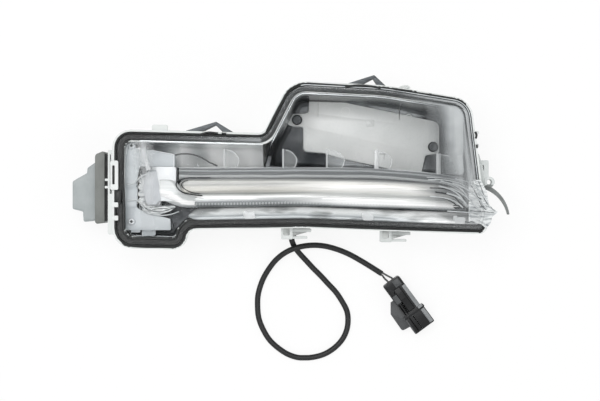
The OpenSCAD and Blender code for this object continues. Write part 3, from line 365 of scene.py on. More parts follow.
# Bar: clear acrylic over milled prisms. Seen from the front the prisms give long silver streaks; these
# streaks and the bands of light and dark across the bar are painted reflections
def prism_bar(name):
    material, surface, place = finish(name)
    across = node(material, "Attribute", attribute_name="across").outputs["Fac"]
    along = node(material, "Attribute", attribute_name="along").outputs["Fac"]
    flow = node(material, "Mapping", {"Vector": place, "Scale": (12, 60, 1)})
    wander = node(material, "TexNoise", {"Vector": flow.outputs["Vector"], "Scale": 1.0, "Detail": 2.0})
    reading = wandering(material, across, wander, 0.05)
    left_bands = node(material, "ValToRGB", {"Fac": reading}, stops=[
        (0.0, "5e6162"), (0.03, "8e9091"), (0.1, "b4b5b1"), (0.17, "a0a19e"), (0.24, "919290"),
        (0.34, "b4b3ad"), (0.47, "aeada7"), (0.54, "939593"), (0.59, "f0f0ee"), (0.66, "fafafa"),
        (0.71, "c6c9c9"), (0.78, "a0a3a5"), (0.86, "7e8284"), (0.95, "74787a"), (1.0, "b4b9bb")])
    middle_bands = node(material, "ValToRGB", {"Fac": reading}, stops=[
        (0.0, "5a5d5e"), (0.07, "969898"), (0.2, "cfceca"), (0.36, "f2f2f0"), (0.45, "d9d9d6"),
        (0.51, "bfc0be"), (0.6, "d9dad9"), (0.7, "e6e7e6"), (0.77, "fbfbfb"), (0.85, "fafafa"),
        (0.9, "d9dbdb"), (0.95, "9a9ea0"), (0.98, "64686a"), (1.0, "6c7072")])
    right_bands = node(material, "ValToRGB", {"Fac": reading}, stops=[
        (0.0, "808384"), (0.1, "b9bab9"), (0.22, "8d9091"), (0.33, "7d8081"), (0.42, "b4b5b4"),
        (0.52, "9b9e9e"), (0.63, "b7b9b9"), (0.75, "e9eaea"), (0.84, "fafafa"), (0.9, "c4c7c8"),
        (0.96, "8b8f91"), (1.0, "9ea2a3")])
    bands = left_bands.outputs["Color"]
    for start, end, next_bands in ((0.3, 0.62, middle_bands), (0.78, 0.9, right_bands)):
        turn = node(material, "MapRange", {"Value": along, "From Min": start, "From Max": end},
                    interpolation_type="SMOOTHSTEP")
        bands = node(material, "Mix", {0: turn.outputs["Result"], 6: bands, 7: next_bands.outputs["Color"]},
                     data_type="RGBA").outputs[2]
    thin = node(material, "Mapping", {"Vector": place, "Scale": (18, 900, 1)})
    streak = node(material, "TexNoise", {"Vector": thin.outputs["Vector"], "Scale": 1.0, "Detail": 3.0})
    wash = node(material, "ValToRGB", {"Fac": streak.outputs["Fac"]},
                stops=[(0.36, "d6d8d8"), (0.56, "ffffff")])
    streaked = node(material, "Mix", {0: 0.5, 6: bands, 7: wash.outputs["Color"]}, data_type="RGBA",
                    blend_type="MULTIPLY")
    # Teeth of the milled edge: really 1.5 mm apart, drawn at 2.4 mm so that they still show from the front
    tooth_mm = 2.4
    teeth = node(material, "TexWave", {"Vector": place, "Scale": math.tau / 20 / (tooth_mm * MM),
                                       "Distortion": 0.4}, bands_direction="X")
    near = node(material, "MapRange", {"Value": across, "From Min": 0.84, "From Max": 0.87})
    far = node(material, "MapRange", {"Value": across, "From Min": 0.92, "From Max": 0.95, "To Min": 0.7,
                                      "To Max": 0.0})
    row = node(material, "Math", {0: near.outputs["Result"], 1: far.outputs["Result"]}, operation="MULTIPLY")
    toothed = node(material, "Math", {0: row.outputs["Value"], 1: teeth.outputs["Fac"]}, operation="MULTIPLY")
    dotted = node(material, "Mix", {0: toothed.outputs["Value"], 6: streaked.outputs[2], 7: linear("c6caca")},
                  data_type="RGBA")
    bump = node(material, "Bump", {"Height": streak.outputs["Fac"], "Strength": 0.5, "Distance": 0.15 * MM})
    link(material, surface, {"Base Color": dotted.outputs[2], "Metallic": 0.1, "Roughness": 0.12, "IOR": 1.49,
                             "Normal": bump.outputs["Normal"]})
    return material


prism_acrylic = prism_bar("acrylic_over_prisms")


# Guide's flange: acrylic with fine ribs along it; the lines of light and dark beside the bar are painted
# reflections
def ribbed_flange(name):
    material, surface, place = finish(name)
    across = node(material, "Attribute", attribute_name="across").outputs["Fac"]
    flow = node(material, "Mapping", {"Vector": place, "Scale": (22, 90, 1)})
    wander = node(material, "TexNoise", {"Vector": flow.outputs["Vector"], "Scale": 1.0, "Detail": 2.0})
    bands = node(material, "ValToRGB", {"Fac": wandering(material, across, wander, 0.16)}, stops=[
        (0.0, "d3d7d8"), (0.1, "85898b"), (0.2, "74787a"), (0.33, "a6aaac"), (0.46, "777b7d"),
        (0.68, "5c6062"), (0.78, "b6babb"), (0.88, "9a9e9f"), (1.0, "7c7f80")])
    link(material, surface, {"Base Color": bands.outputs["Color"], "Alpha": 0.85, "IOR": 1.49,
                             "Roughness": 0.15})
    return material


ribbed_acrylic = ribbed_flange("ribbed_acrylic")


# Trim: pale metallised strip, glossy, with painted dark reflections of the bowl that come and go along it
def pale_strip(name):
    material, surface, place = finish(name)
    across = node(material, "Attribute", attribute_name="across").outputs["Fac"]
    flow = node(material, "Mapping", {"Vector": place, "Rotation": (0, 0, -0.6), "Scale": (24, 90, 1)})
    reflection_noise = node(material, "TexNoise", {"Vector": flow.outputs["Vector"], "Scale": 1.0, "Detail": 3.0})
    bands = node(material, "ValToRGB", {"Fac": wandering(material, across, reflection_noise, 0.12)}, stops=[
        (0.0, "ffffff"), (0.34, "f8fbfb"), (0.54, "e6eaeb"), (0.62, "c2c7c9"), (0.7, "9a9fa1"),
        (0.78, "a9afb1"), (0.88, "9da2a4"), (1.0, "8f9496")])
    painted_dark_reflection = node(material, "ValToRGB", {"Fac": reflection_noise.outputs["Fac"]},
                stops=[(0.42, "4f5456"), (0.52, "ffffff")])
    tint = node(material, "Mix", {0: 0.6, 6: bands.outputs["Color"], 7: painted_dark_reflection.outputs["Color"]},
                data_type="RGBA", blend_type="MULTIPLY")
    link(material, surface, {"Base Color": tint.outputs[2], "Metallic": 0.1, "Roughness": 0.2})
    return material


pale_metallised = pale_strip("pale_metallised_strip")


# Outlines: corners [x, y, radius] in mm, anticlockwise
def unit(v):
    return v / v.length


def left(v):
    return Vector((-v[1], v[0]))


def share_of(value):
    """The value, kept between 0 and 1."""
    return max(0, min(1, value))


def corner_of(outline, i):
    """The corner with the one before it and the one after it."""
    k = len(outline)
    return [Vector(outline[j % k][:2]) for j in (i - 1, i, i + 1)]


def inset(outline, d):
    """The outline moved inwards by d, with its radii adjusted."""
    made = []
    for i, place in enumerate(outline):
        a, b, c = corner_of(outline, i)
        n1, n2 = left(unit(b - a)), left(unit(c - b))
        hollow = (b - a).cross(c - b) < 0
        p = b + (n1 + n2) * d / (1 + n1.dot(n2))
        made.append((p[0], p[1], max(0.5, place[2] + (d if hollow else -d))))
    return made


def rounded(outline, steps=8):
    """Points round the outline, with each corner as an arc."""
    made = []
    for i, place in enumerate(outline):
        a, b, c = corner_of(outline, i)
        u, v = unit(a - b), unit(c - b)
        half = math.acos(max(-1, min(1, u.dot(v)))) / 2
        m = b + unit(u + v) * place[2] / math.sin(half)
        p, q = b + u * place[2] / math.tan(half) - m, b + v * place[2] / math.tan(half) - m
        start, turn = math.atan2(p[1], p[0]), math.atan2(p.cross(q), p.dot(q))
        angles = [start + turn * j / steps for j in range(steps + 1)]
        made += [m + place[2] * Vector((math.cos(a), math.sin(a))) for a in angles]
    return made


def lifted(outline, z):
    return [Vector((p[0], p[1], z)) for p in outline]


def plate(outline, low, high, top, trim, steps=5):
    """A flat piece from low to high, whose upper edge draws in by trim up to top."""
    return skin([lifted(rounded(outline, steps), low), lifted(rounded(outline, steps), high),
                 lifted(rounded(inset(outline, trim), steps), top)])


def round_strand(line, radius, sides=8, steps=6):
    """A round strand along a smooth line through the points."""
    return skin(strand_rings(smooth_line(line, steps), radius, sides))


def build(name, parts, material, slot, stands_for=(), angle=35, **fields):
    """Makes one piece from lists of points in mm and faces. Fields are values for each point."""
    points, faces = [], []
    for part_points, part_faces in parts:
        faces += [[i + len(points) for i in face] for face in part_faces]
        points += part_points
    mesh = bpy.data.meshes.new(name)
    mesh.from_pydata([Vector(p) * MM for p in points], [], faces)
    for field, values in fields.items():
        layer = mesh.attributes.new(field, "FLOAT", "POINT")
        layer.data.foreach_set("value", values)
    work = bmesh.new()
    work.from_mesh(mesh)
    bmesh.ops.recalc_face_normals(work, faces=work.faces)
    work.to_mesh(mesh)
    work.free()
    return place_piece(name, mesh, material, stands_for, angle)


def place_piece(name, mesh, material, stands_for, angle):
    """Gives the mesh its material and shading, and hands the piece to the frame."""
    mesh.shade_smooth()
    mesh.set_sharp_from_angle(angle=math.radians(angle))
    mesh.materials.clear()
    mesh.materials.append(material)
    piece = bpy.data.objects.new(name, mesh)
    scene.collection.objects.link(piece)
    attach(piece, "root")
    if stands_for:
        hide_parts(*stands_for)
    return piece


def box_of(p, s, r):
    """A block with round upright edges and a small chamfer at its top, from its lowest corner."""
    base = [(p[0], p[1], r), (p[0] + s[0], p[1], r), (p[0] + s[0], p[1] + s[1], r), (p[0], p[1] + s[1], r)]
    trim = min(0.25, s[2] / 4, r * 0.9)
    return plate(base, p[2], p[2] + s[2] - trim, p[2] + s[2], trim, 3)


# An edge of a solid counts as sharp from this angle on
sharp_angle = math.radians(32)


def refined(name, material, edge):
    """The node's own solid with its sharp edges broken, as a mould or a press leaves them."""
    work = bmesh.new()
    work.from_mesh(nodes[name].data)
    bmesh.ops.remove_doubles(work, verts=work.verts, dist=0.004 * MM)
    bmesh.ops.dissolve_limit(work, angle_limit=math.radians(1.5), verts=work.verts, edges=work.edges)
    if edge:
        sharp = [e for e in work.edges if len(e.link_faces) == 2 and e.calc_face_angle(0) > sharp_angle]
        bmesh.ops.bevel(work, geom=sharp, offset=edge * MM, offset_type="OFFSET", segments=2, profile=0.6,
                        affect="EDGES", clamp_overlap=True)
    bmesh.ops.triangulate(work, faces=[f for f in work.faces if len(f.verts) > 4])
    mesh = bpy.data.meshes.new(name + "_dressed")
    work.to_mesh(mesh)
    work.free()
    return place_piece(name + "_dressed", mesh, material, (name,), 30)


# Corners of the sealing outline
rim = [
    (-131.8, -63.3, 14), (-80.8, -64.8, 10), (-76.8, -49.6, 8), (7.8, -48.1, 200), (145.7, -53, 5),
    (150.2, -39.1, 8), (142.7, -15, 60), (135.2, 45.7, 15), (71, 56.2, 190), (1.2, 59.7, 19),
    (-18.8, 20.2, 8), (-131.8, 23.2, 12),
]


def rim_at(d, z):
    """The sealing outline moved inwards by d, at height z."""
    return lifted(rounded(inset(rim, d)), z)


# Seal bead: pressed in as one strand, higher outside the lens's foot, with two blocks at the left
bead_profile = [(0.3, 50.02), (0.3, 54.9), (0.6, 55.35), (1.1, 55.5), (1.6, 55.2), (1.85, 54.5),
                (1.86, 53.02), (3.2, 52.98), (5.7, 52.98), (5.7, 50.02)]
bead = skin([rim_at(d, z) for d, z in bead_profile], loop=True)
build("seal_bead_strand", [bead, box_of((-131.5, -31, 50.1), (5, 10, 5.9), 1),
                           box_of((-133, -16.8, 56.05), (1.7, 14.1, 0.9), 0.7)], seal_rubber, "seal_rubber",
      ("seal_bead",), 50)


def along_ring(ring, place):
    """The place on a closed ring that lies so many points from its first."""
    i, part = int(place), place - int(place)
    return ring[i % len(ring)].lerp(ring[(i + 1) % len(ring)], part)


# Sealant that was squeezed over the channel's inner lip, at the left and round the lobe
squeezed_profile = [(0, 53.5), (0, 54.2), (0.3, 54.6), (0.7, 54.4), (1, 53.9), (1.04, 53.5)]
squeezed_steps, squeezed_start, squeezed_share = 90, 0.91, 0.36
lip_line, inner_line = rounded(inset(rim, 5.65)), rounded(inset(rim, 6.6))
count = len(inner_line)
squeezed = []
for n in range(squeezed_steps + 1):
    place = (count * squeezed_start + n / squeezed_steps * count * squeezed_share) % count
    far, near = along_ring(lip_line, place), along_ring(inner_line, place)
    side = unit(near - far)
    wide = 1.9 + 0.5 * math.sin(n * 0.9) + 0.3 * math.sin(n * 2.3)
    wide *= min(1, n / 6, (squeezed_steps - n) / 6) * 0.9 + 0.1
    squeezed.append([Vector((*(far + side * u * wide), z)) for u, z in squeezed_profile])
build("seal_bead_squeezed", [skin(squeezed)], seal_rubber, "seal_rubber", (), 60)

# Sealant over the channel's outer lip: all round but for the left side and the lens's flange
lip_profile = [(0, 56.02), (0.15, 56.3), (0.6, 56.4), (1, 56.2), (1, 55.2), (0.9, 55.2)]


def lip_run(first, last, name):
    """A wavy strand between two of the outline's points, with three rings for each point."""
    outer, inner = rounded(inset(rim, -0.8)), rounded(inset(rim, 0.5))
    rings = []
    for n in range(first * 3, last * 3 + 1):
        far, near = along_ring(outer, n / 3), along_ring(inner, n / 3)
        slack = 0.2 + 0.25 * math.sin(n * 1.7) + 0.15 * math.sin(n * 0.6)
        far = far + unit(near - far) * max(0, slack)
        rings.append([Vector((*far.lerp(near, u), z)) for u, z in lip_profile])
    build(name, [skin(rings)], seal_rubber, "seal_rubber", (), 60)


lip_run(5, 40, "seal_bead_lower_lip")
lip_run(67, 92, "seal_bead_upper_lip")

# Painted highlight on the edge of the lens's foot, seen between two dark lines of the bead at the right and
# along the top
foot_edge = rim_at(1.1, 55.75)[59:84]
build("outer_lens_edge", [skin(strand_rings(foot_edge, 0.42, 8))], painted_highlight_edge, "clear_polycarbonate", (), 60)

# Short strands of sealant that stand out along the upper edge and the right side, under the clips too
smears = [[(-67.3, 20.3, 56.4), (-63.5, 21.6, 56.6), (-59.8, 22.1, 56.6), (-53.8, 21.3, 56.4)],
          [(-51, 21.3, 56.4), (-47.6, 21.2, 56.4)],
          [(77.6, 55, 56.4), (80.6, 54.4, 56.4)], [(93.4, 52.8, 56.4), (95.2, 52.4, 56.4)],
          [(104.6, 50.8, 56.4), (106.6, 50.4, 56.4)],
          [(139.4, 22.6, 56.4), (140.4, 20, 56.4), (139.8, 17.6, 56.4)],
          [(140.6, 13, 56.4), (140.8, 10.4, 56.4)], [(81, 54.4, 56.4), (87, 53.6, 56.6), (92, 53, 56.4)],
          [(41.6, 56.4, 56.4), (48, 57.2, 56.6), (55, 57.4, 56.6), (62, 56.6, 56.6), (68.4, 55.4, 56.4)]]
build("seal_bead_smears", [round_strand(line, 0.8) for line in smears], seal_rubber, "seal_rubber", (), 60)

# Small hook that stands on the upper edge
hook = [(81.6, 54.8, 55.2), (84.4, 56.4, 55.6), (88.4, 56.9, 55.6), (90.2, 55.2, 55.2)]
build("housing_hook", [round_strand(hook, 0.8, 10)], housing_plastic, "housing_plastic", (), 60)

# Outer lens: foot in the bead, upright wall, round shoulder, and a front that curves across the lamp
lens_front = 69.99
lens_radius = 1500
lens_wall = 2.2
foot_out, wall_out, wall_in = 2.05, 3.4, 5.6
foot_low, foot_high, wall_ring = 53.05, 55.7, 57
outer_round, inner_round = 3, 1.6


def lens_top(x, inner):
    """Height of the front's outer or inner face."""
    r = lens_radius - (lens_wall if inner else 0)
    return lens_front - lens_radius + math.sqrt(r * r - x * x)


def lens_shoulder(wall, radius, inner, angles):
    """Rings of the round corner between the upright wall and the front."""
    rings = []
    for a in [math.radians(angle) for angle in angles]:
        ring = rounded(inset(rim, wall + radius * (1 - math.cos(a))))
        drop = radius * (1 - math.sin(a))
        rings.append([Vector((p[0], p[1], lens_top(p[0], inner) - drop)) for p in ring])
    return rings


def cut_across(work, first, last):
    """Cuts a flat sheet into strips 10 mm wide."""
    for x in range(first, last, 10):
        bmesh.ops.bisect_plane(work, geom=work.verts[:] + work.edges[:] + work.faces[:], plane_co=(x, 0, 0),
                               plane_no=(1, 0, 0))


def taken_from(work):
    """Points and faces of a sheet, which is done with."""
    work.verts.index_update()
    points = [v.co.copy() for v in work.verts]
    faces = [[v.index for v in f.verts] for f in work.faces]
    work.free()
    return points, faces


def lens_cap(ring, inner):
    """The front inside its shoulder, cut across the lamp so that it can follow the curve."""
    work = bmesh.new()
    work.faces.new([work.verts.new((p[0], p[1], 0)) for p in ring])
    cut_across(work, -130, 150)
    for v in work.verts:
        v.co.z = lens_top(v.co.x, inner)
    return taken_from(work)


outer_rings = [rim_at(foot_out, foot_low), rim_at(foot_out, foot_high), rim_at(wall_out, foot_high),
               rim_at(wall_out, wall_ring)]
outer_rings += lens_shoulder(wall_out, outer_round, False, [15 * i for i in range(7)])
inner_rings = lens_shoulder(wall_in, inner_round, True, [90 - 22.5 * i for i in range(5)])
inner_rings.append(rim_at(wall_in, foot_low))
lens_parts = [skin(outer_rings, ends=False), skin(inner_rings, ends=False),
              skin([rim_at(wall_in, foot_low), rim_at(foot_out, foot_low)], ends=False),
              lens_cap(outer_rings[-1], False), lens_cap(inner_rings[0], True)]


def lens_look(p):
    """Painted light of the lens: film on faces seen flat, veil on steep ones, and how pale, by the side of
    the lamp.
    """
    x, y, z = p
    if z > 64:
        return 0.008, 0.08, 0.6
    if z > 55 and -24 < x < 14 and 15 < y < 57:
        return 0.2, 0.3, 0.36
    if z > 55 and x > -118 and y > 4:
        return (0.7, 0.4, 0.62) if y < 30 else (0.6, 0.6, 0.36) if x < 120 else (0.92, 0.75, 0.86)
    if x > 120 and y > -14:
        return 0.5, 0.96, 0.86
    if x > 120:
        return 0.12, 0.4, 0.8
    if y > 30:
        return 0.3, 0.6, 0.42
    if x > -22 and y > 14:
        return 0.1, 0.25, 0.3
    if x > -118 and y > 4:
        return (0.7, 0.2, 0.7) if z < 53.2 else (0.08, 0.2, 0.3)
    return 0.01, 0.03, 0.1


films, veils, shades = zip(*[lens_look(p) for part in lens_parts for p in part[0]])
outer_lens = build("outer_lens_cover", lens_parts, clear_polycarbonate, "clear_polycarbonate",
                   ("outer_lens",), 40, film=films, veil=veils, shade=shades)
weld = bmesh.new()
weld.from_mesh(outer_lens.data)
bmesh.ops.remove_doubles(weld, verts=weld.verts, dist=0.02 * MM)
bmesh.ops.recalc_face_normals(weld, faces=weld.faces)
weld.to_mesh(outer_lens.data)
weld.free()

# Clear flange over the right end, with its small point and ridges moulded across it. The ridges are painted
# dark
end_flange = [(134.2, -46, 1), (143.5, -46.5, 3), (147.2, -50, 1), (150.6, -46.6, 1), (152, -41.4, 1.5),
              (156.2, -37.8, 0.8), (149.6, -32.4, 3), (148, -22.6, 8), (143.6, -13.6, 2), (134.2, -13, 1)]
build("outer_lens_flange", [plate(end_flange, 56.3, 58.2, 58.6, 0.8)], glint_painted_polycarbonate,
      "clear_polycarbonate", (), 40)
ridges = [(0.3, [(134.6, -36.8, 58.5), (144, -37.3, 58.6), (153.2, -38.2, 58.4)]),
          (0.25, [(141.6, -14.6, 58.5), (144.6, -22, 58.6), (146.6, -29, 58.6), (150.4, -33.8, 58.6),
                  (154, -37, 58.4)]),
          (0.25, [(136.4, -18, 58.6), (140.4, -25, 58.6), (143.4, -32, 58.6), (147.4, -36, 58.6)]),
          (0.5, [(140.6, -26.2, 58.6), (142.6, -27.6, 58.6), (143.8, -27.6, 58.6)]),
          (0.4, [(131.4, -44.8, 58.2), (134, -45.4, 58.4), (136.6, -44.8, 58.4), (138.6, -45.6, 58.4)])]
# Curls of light in the clear pieces above and beside the guide's right end
curls = [(0.45, [(121.9, -15.9, 60), (132.5, -20.4, 60), (140.7, -27.1, 60), (147.5, -34.6, 59.4)]),
         (0.45, [(120.4, -19.6, 60), (129.5, -24.1, 60), (137, -30.9, 60), (141.5, -36.1, 59.6)]),
         (0.4, [(124, -12.6, 60), (137, -16.6, 60), (145.2, -25.6, 60), (150.5, -34.6, 59.2)]),
         (0.4, [(118, -36.9, 60), (134, -37.9, 60), (146, -38.8, 60), (153, -39.4, 59.4)]),
         (0.5, [(113.5, -14.3, 55), (122.6, -16.9, 55), (130.1, -21.5, 55), (134.6, -27.6, 55)]),
         (0.6, [(112, -18, 55), (121, -20.6, 55), (127.8, -25.4, 55), (132.6, -32.4, 55)]),
         (0.5, [(105.5, -25.8, 55), (116.8, -27.1, 55), (125, -30.1, 55), (130.3, -34.4, 55)]),
         (0.7, [(118, -23.4, 55), (125.4, -25.8, 55), (130.4, -29, 55), (134.1, -33.4, 55)]),
         (0.4, [(104, -13.4, 55), (116, -13.6, 55), (127, -15.6, 55), (134, -19.4, 55)])]
build("outer_lens_curls", [round_strand(line, thick, steps=8) for thick, line in curls], painted_highlight_edge,
      "clear_polycarbonate", (), 60)
build("outer_lens_ridges", [round_strand(line, thick) for thick, line in ridges], painted_dark_ridges,
      "clear_polycarbonate", (), 60)

# Outline of the pad and of the reflector's window over it
pad = [
    (10.5, 9.5, 3), (27, 8, 8), (42, 3.5, 8), (93, -7.5, 4), (102.5, -7.5, 2), (105.5, 6.5, 2.5),
    (116.5, 8, 2), (116.5, 32, 6), (93, 37, 30), (35, 49, 60), (15, 52, 4), (14.5, 39, 2), (-2, 38.5, 4),
    (-3, 29.5, 4), (10.5, 28.5, 2),
]

# Reflector: floor with its window, walls with a round foot, and a rolled edge at the mouth
bowl_in = inset(rim, 7.2)
bowl_mouth = [(-19.8, -4, 2), (bowl_in[6][0] - 2, -10, 3), (*bowl_in[7][:2], 7), (*bowl_in[8][:2], 150),
              (*bowl_in[9][:2], 11), (*bowl_in[10][:2], 8)]
bowl_base = [(-14.8, -4, 2), (121.2, -11, 3), (121.2, 37.2, 6), (74, 48.7, 150), (5.7, 51.1, 9),
             (bowl_in[10][0] + 0.5, bowl_in[10][1] - 1, 8)]


def bowl_ring(share, d, z):
    """The bowl's outline between floor, share 0, and mouth, share 1. Its straight sides are cut in ten."""
    mixed = [tuple(a + (b - a) * share for a, b in zip(low, high))
             for low, high in zip(bowl_base, bowl_mouth)]
    steps = 14
    corners = lifted(rounded(inset(mixed, d), steps), z)
    ring = []
    for i, p in enumerate(corners):
        ring.append(p)
        if i % (steps + 1) == steps:
            ring += [p.lerp(corners[(i + 1) % len(corners)], n / 10) for n in range(1, 10)]
    return ring


def filled(loops, z):
    """A flat sheet inside the first loop with the other loops cut out, in strips 10 mm wide."""
    work = bmesh.new()
    edges = []
    for loop in loops:
        verts = [work.verts.new((p[0], p[1], z)) for p in loop]
        edges += [work.edges.new((verts[i], verts[(i + 1) % len(verts)])) for i in range(len(verts))]
    bmesh.ops.triangle_fill(work, use_beauty=True, use_dissolve=False, edges=edges)
    cut_across(work, -10, 130)
    return taken_from(work)


floor_z, under_z, wall_top = 7, 5.6, 52
fillet = 5
bowl_wall = 1.5
walls = [bowl_ring(0, bowl_wall + fillet * (1 - math.sin(a)), floor_z + fillet * (1 - math.cos(a)))
         for a in [math.radians(15 * i) for i in range(7)]]
walls += [bowl_ring(share, bowl_wall, floor_z + fillet + (wall_top - floor_z - fillet) * share)
          for share in (0.25, 0.5, 0.75, 0.95)]
walls += [bowl_ring(share, d, z) for share, d, z in (
    (1, 1.0, 53.8), (1, 0.7, 54.2), (1, -0.1, 54.2), (1, -0.5, 53.75), (1, 0.5, 53.7), (1, 0.6, wall_top),
    (0.5, 0.02, 29), (0, 0.02, under_z))]
# The walls are cut low on the side of the light guide
for ring in walls:
    for p in ring:
        limit = (30 if p[0] < 20 else 39.5) + max(0, p[1] - 6) * 5
        p[2] = min(p[2], limit)
window = rounded(inset(pad, -0.5), 5)
under = filled([bowl_ring(0, 0.02, under_z), window], under_z)
inside = filled([walls[0], window], floor_z)
lip = skin([lifted(window, under_z), lifted(window, floor_z)], ends=False)
reflector_parts = [skin(walls, ends=False), under, inside, lip]


def wall_tone(p):
    """Painted light and shade of the reflector, place by place: dark floor, light right wall and a bright
    rolled edge.
    """
    if p[2] > 53:
        return 0.62 if p[0] > 120 else 0.05 if p[1] < 16 else 0.42 if p[0] < 6 else 0.52
    climb = share_of((p[2] - 8) / 40)
    if p[0] > 119:
        return 0.34 + 0.42 * share_of((p[0] - 119) / 7)
    if p[1] > 36 and p[0] > 0:
        return 0.16 + 0.04 * climb + 0.34 * (1 - climb) * share_of(min((p[0] - 30) / 20, (120 - p[0]) / 10))
    if p[0] < 30 and p[2] < 9:
        return 0.05
    if p[0] < 12:
        return 0.14 + 0.66 * max(0, 1 - abs(p[1] - 29) / 11)
    if p[0] < 30:
        return 0.14
    return 0.22


build("reflector_bowl", reflector_parts, metallised_painted_light, "metallised_plastic", ("reflector",), 40,
      tone=[wall_tone(p) for part in reflector_parts for p in part[0]])

# Face of the pad: painted paler than the housing, as painted light in the deep bowl. On it stand three
# moulded rings, a stepped block and four thin ribs
mark_z = 9.05
marks = []
for x, y, r in ((43.5, 40.5, 3.6), (92.5, 35.5, 3), (28, 47, 2)):
    profile = [(r, mark_z), (r, 9.28), (r - 0.35, 9.32), (r - 0.6, 9.28), (r - 0.6, mark_z)]
    marks.append(skin([[Vector((x + u * math.cos(math.tau * i / 32), y + u * math.sin(math.tau * i / 32), z))
                        for i in range(32)] for u, z in profile], ends=False))
marks.append(box_of((59.4, 28.4, mark_z), (6.4, 5.6, 0.28), 0.5))
marks.append(box_of((61.2, 29.8, 9.3), (2.8, 2.8, 0.2), 0.4))
for x, y, w, h in ((21.5, 36, 0.8, 12), (85, 34, 0.7, 9), (70, 7, 7, 0.7), (73, 3, 0.8, 5)):
    marks.append(box_of((x, y, mark_z), (w, h, 0.22), 0.3))
build("pad_face", [plate(inset(pad, 0.15), 8.9, 9.04, 9.1, 0.1)] + marks, pad_painted_light, "housing_plastic",
      (), 40)

# Sloping wall along the arm
arm_steps = 40
arm_start, arm_long, arm_inset = -112.8, 92.5, 7.9


def arm_section(x):
    """The wall's section, from its rolled edge down the slope and back up behind it."""
    (left_x, left_y), (right_x, right_y) = rim[11][:2], rim[10][:2]
    edge = left_y + (right_y - left_y) * (x - left_x) / (right_x - left_x) - arm_inset
    line = [(edge + 1.7, 53.7), (edge + 1.5, 54.2), (edge + 0.9, 54.35), (edge + 0.2, 54.1), (edge - 0.1, 53),
            (edge - 0.6, 46), (edge - 1.6, 41.5), (edge - 4, 38), (edge - 8, 34.6), (-1.4, 31), (-4, 29.4)]
    back = [(-3.4, 28.2), (edge - 7, 32.6), (edge - 2, 37), (edge + 0.2, 42), (edge + 0.35, 53.6)]
    return [Vector((x, y, z)) for y, z in line + back]


arm_rings = [arm_section(arm_start + arm_long * i / arm_steps) for i in range(arm_steps + 1)]


def arm_tone(p):
    """Painted light on the slope, with two darker stretches of painted shade, and a painted highlight on the
    rolled edge.
    """
    if p[2] > 53.2:
        return 0.7
    share = (p[0] - arm_start) / arm_long
    wave = 0.98 + 0.1 * math.sin(9.5 * share + 0.6) + 0.08 * math.sin(23 * share)
    if share > 0.72:
        wave = 0.92 - 0.1 * max(0, share - 0.9) / 0.1
    if share < 0.32:
        wave = 0.4 + 1.6 * share
    return max(0.1, min(1, wave - (0.2 - 0.14 * share) * max(0, (p[2] - 38) / 14)))


build("reflector_slope", [skin(arm_rings)], metallised_painted_light, "metallised_plastic", (), 40,
      tone=[arm_tone(p) for ring in arm_rings for p in ring])


# Dark tray under the light module, laid in as painted shade of the deep gap: a formed sheet with a raised
# edge that follows the arm's inner wall
tray_outline = [(-124.9, -56, 7), (-88.4, -57.2, 5), (-79, -46.5, 5), (-70, -41.4, 3), (-70, 0, 3),
                (-112, 6, 3), (-124.9, 8, 6)]
tray_rings = [lifted(rounded(inset(tray_outline, d), 6), z) for d, z in (
    (0, 24.4), (0, 31), (0.8, 31), (1.2, 27), (2.4, 25.4), (4, 25))]
build("reflector_shade_tray", [skin(tray_rings)], metallised_painted_light, "metallised_plastic", (), 40,
      tone=[(0.14 if p[1] > -48 and p[0] > -95 else 0.26) + 0.2 * share_of((p[2] - 25) / 6)
            for ring in tray_rings for p in ring])


# Carrier's grey cheek over the holder's slope, with a low rib at each end: a grey sheet that lays painted
# shade on the white slope
cheek = [(-107.3, 40.7), (-106.9, 40.55), (-101, 45.85), (-101.3, 46.1)]
cheek_parts = [skin([[Vector((x, y, z)) for x, z in cheek] for y in (-31.6, -6)])]
for y in (-31.8, -7.4):
    cheek_parts.append(skin([[Vector((x, y + u, z + 0.3)) for x, z in cheek] for u in (0, 1.4)]))
build("holder_slope_painted_shade", cheek_parts, carrier_abs, "carrier_plastic", (), 30)


# Clear skirt of the collimator below the holder, with its pale rims as painted highlights and the lines where
# its facets meet painted dark
skirt = [(-111, -32.7, 1), (-112.4, -35.4, 1.5), (-108.6, -39, 2), (-100, -40.2, 3), (-90.4, -37, 3),
         (-84.6, -33, 1)]
build("collimator_skirt", [plate(skirt, 43.4, 44.6, 45.2, 0.8)], glint_painted_polycarbonate, "clear_acrylic",
      (), 40)
rims = [[(-123.6, -16.5, 46.6), (-118.4, -16.3, 46.8), (-115.3, -13.4, 47), (-111.5, -10.4, 47),
         (-107, -8.6, 47)],
        [(-122.4, -28.8, 46.6), (-115.3, -28.8, 46.8), (-111.5, -33.2, 46.8), (-106.2, -38.4, 46.4),
         (-98.6, -40.2, 45.8), (-90.6, -39.6, 45.4), (-84, -37.4, 45)]]
build("collimator_rims", [round_strand(line, 0.4) for line in rims], painted_highlight_edge, "clear_acrylic", (), 60)
creases = [[(-116, -19, 46.8), (-115.4, -15.4, 47), (-112.4, -12, 47.1), (-108.8, -10, 47.1)],
           [(-113, -31, 46.4), (-108.4, -35.4, 46), (-104.6, -37, 45.8), (-96, -37.2, 45.6),
            (-88, -34.6, 45.4)],
           [(-106.2, -34.4, 45.5), (-100, -33.6, 45.5), (-95, -33, 45.4)],
           [(-104, -36, 45.5), (-99, -35.2, 45.5), (-92.6, -34.8, 45.4)]]
build("collimator_creases", [round_strand(line, 0.25) for line in creases], painted_dark_ridges,
      "clear_acrylic", (), 60)

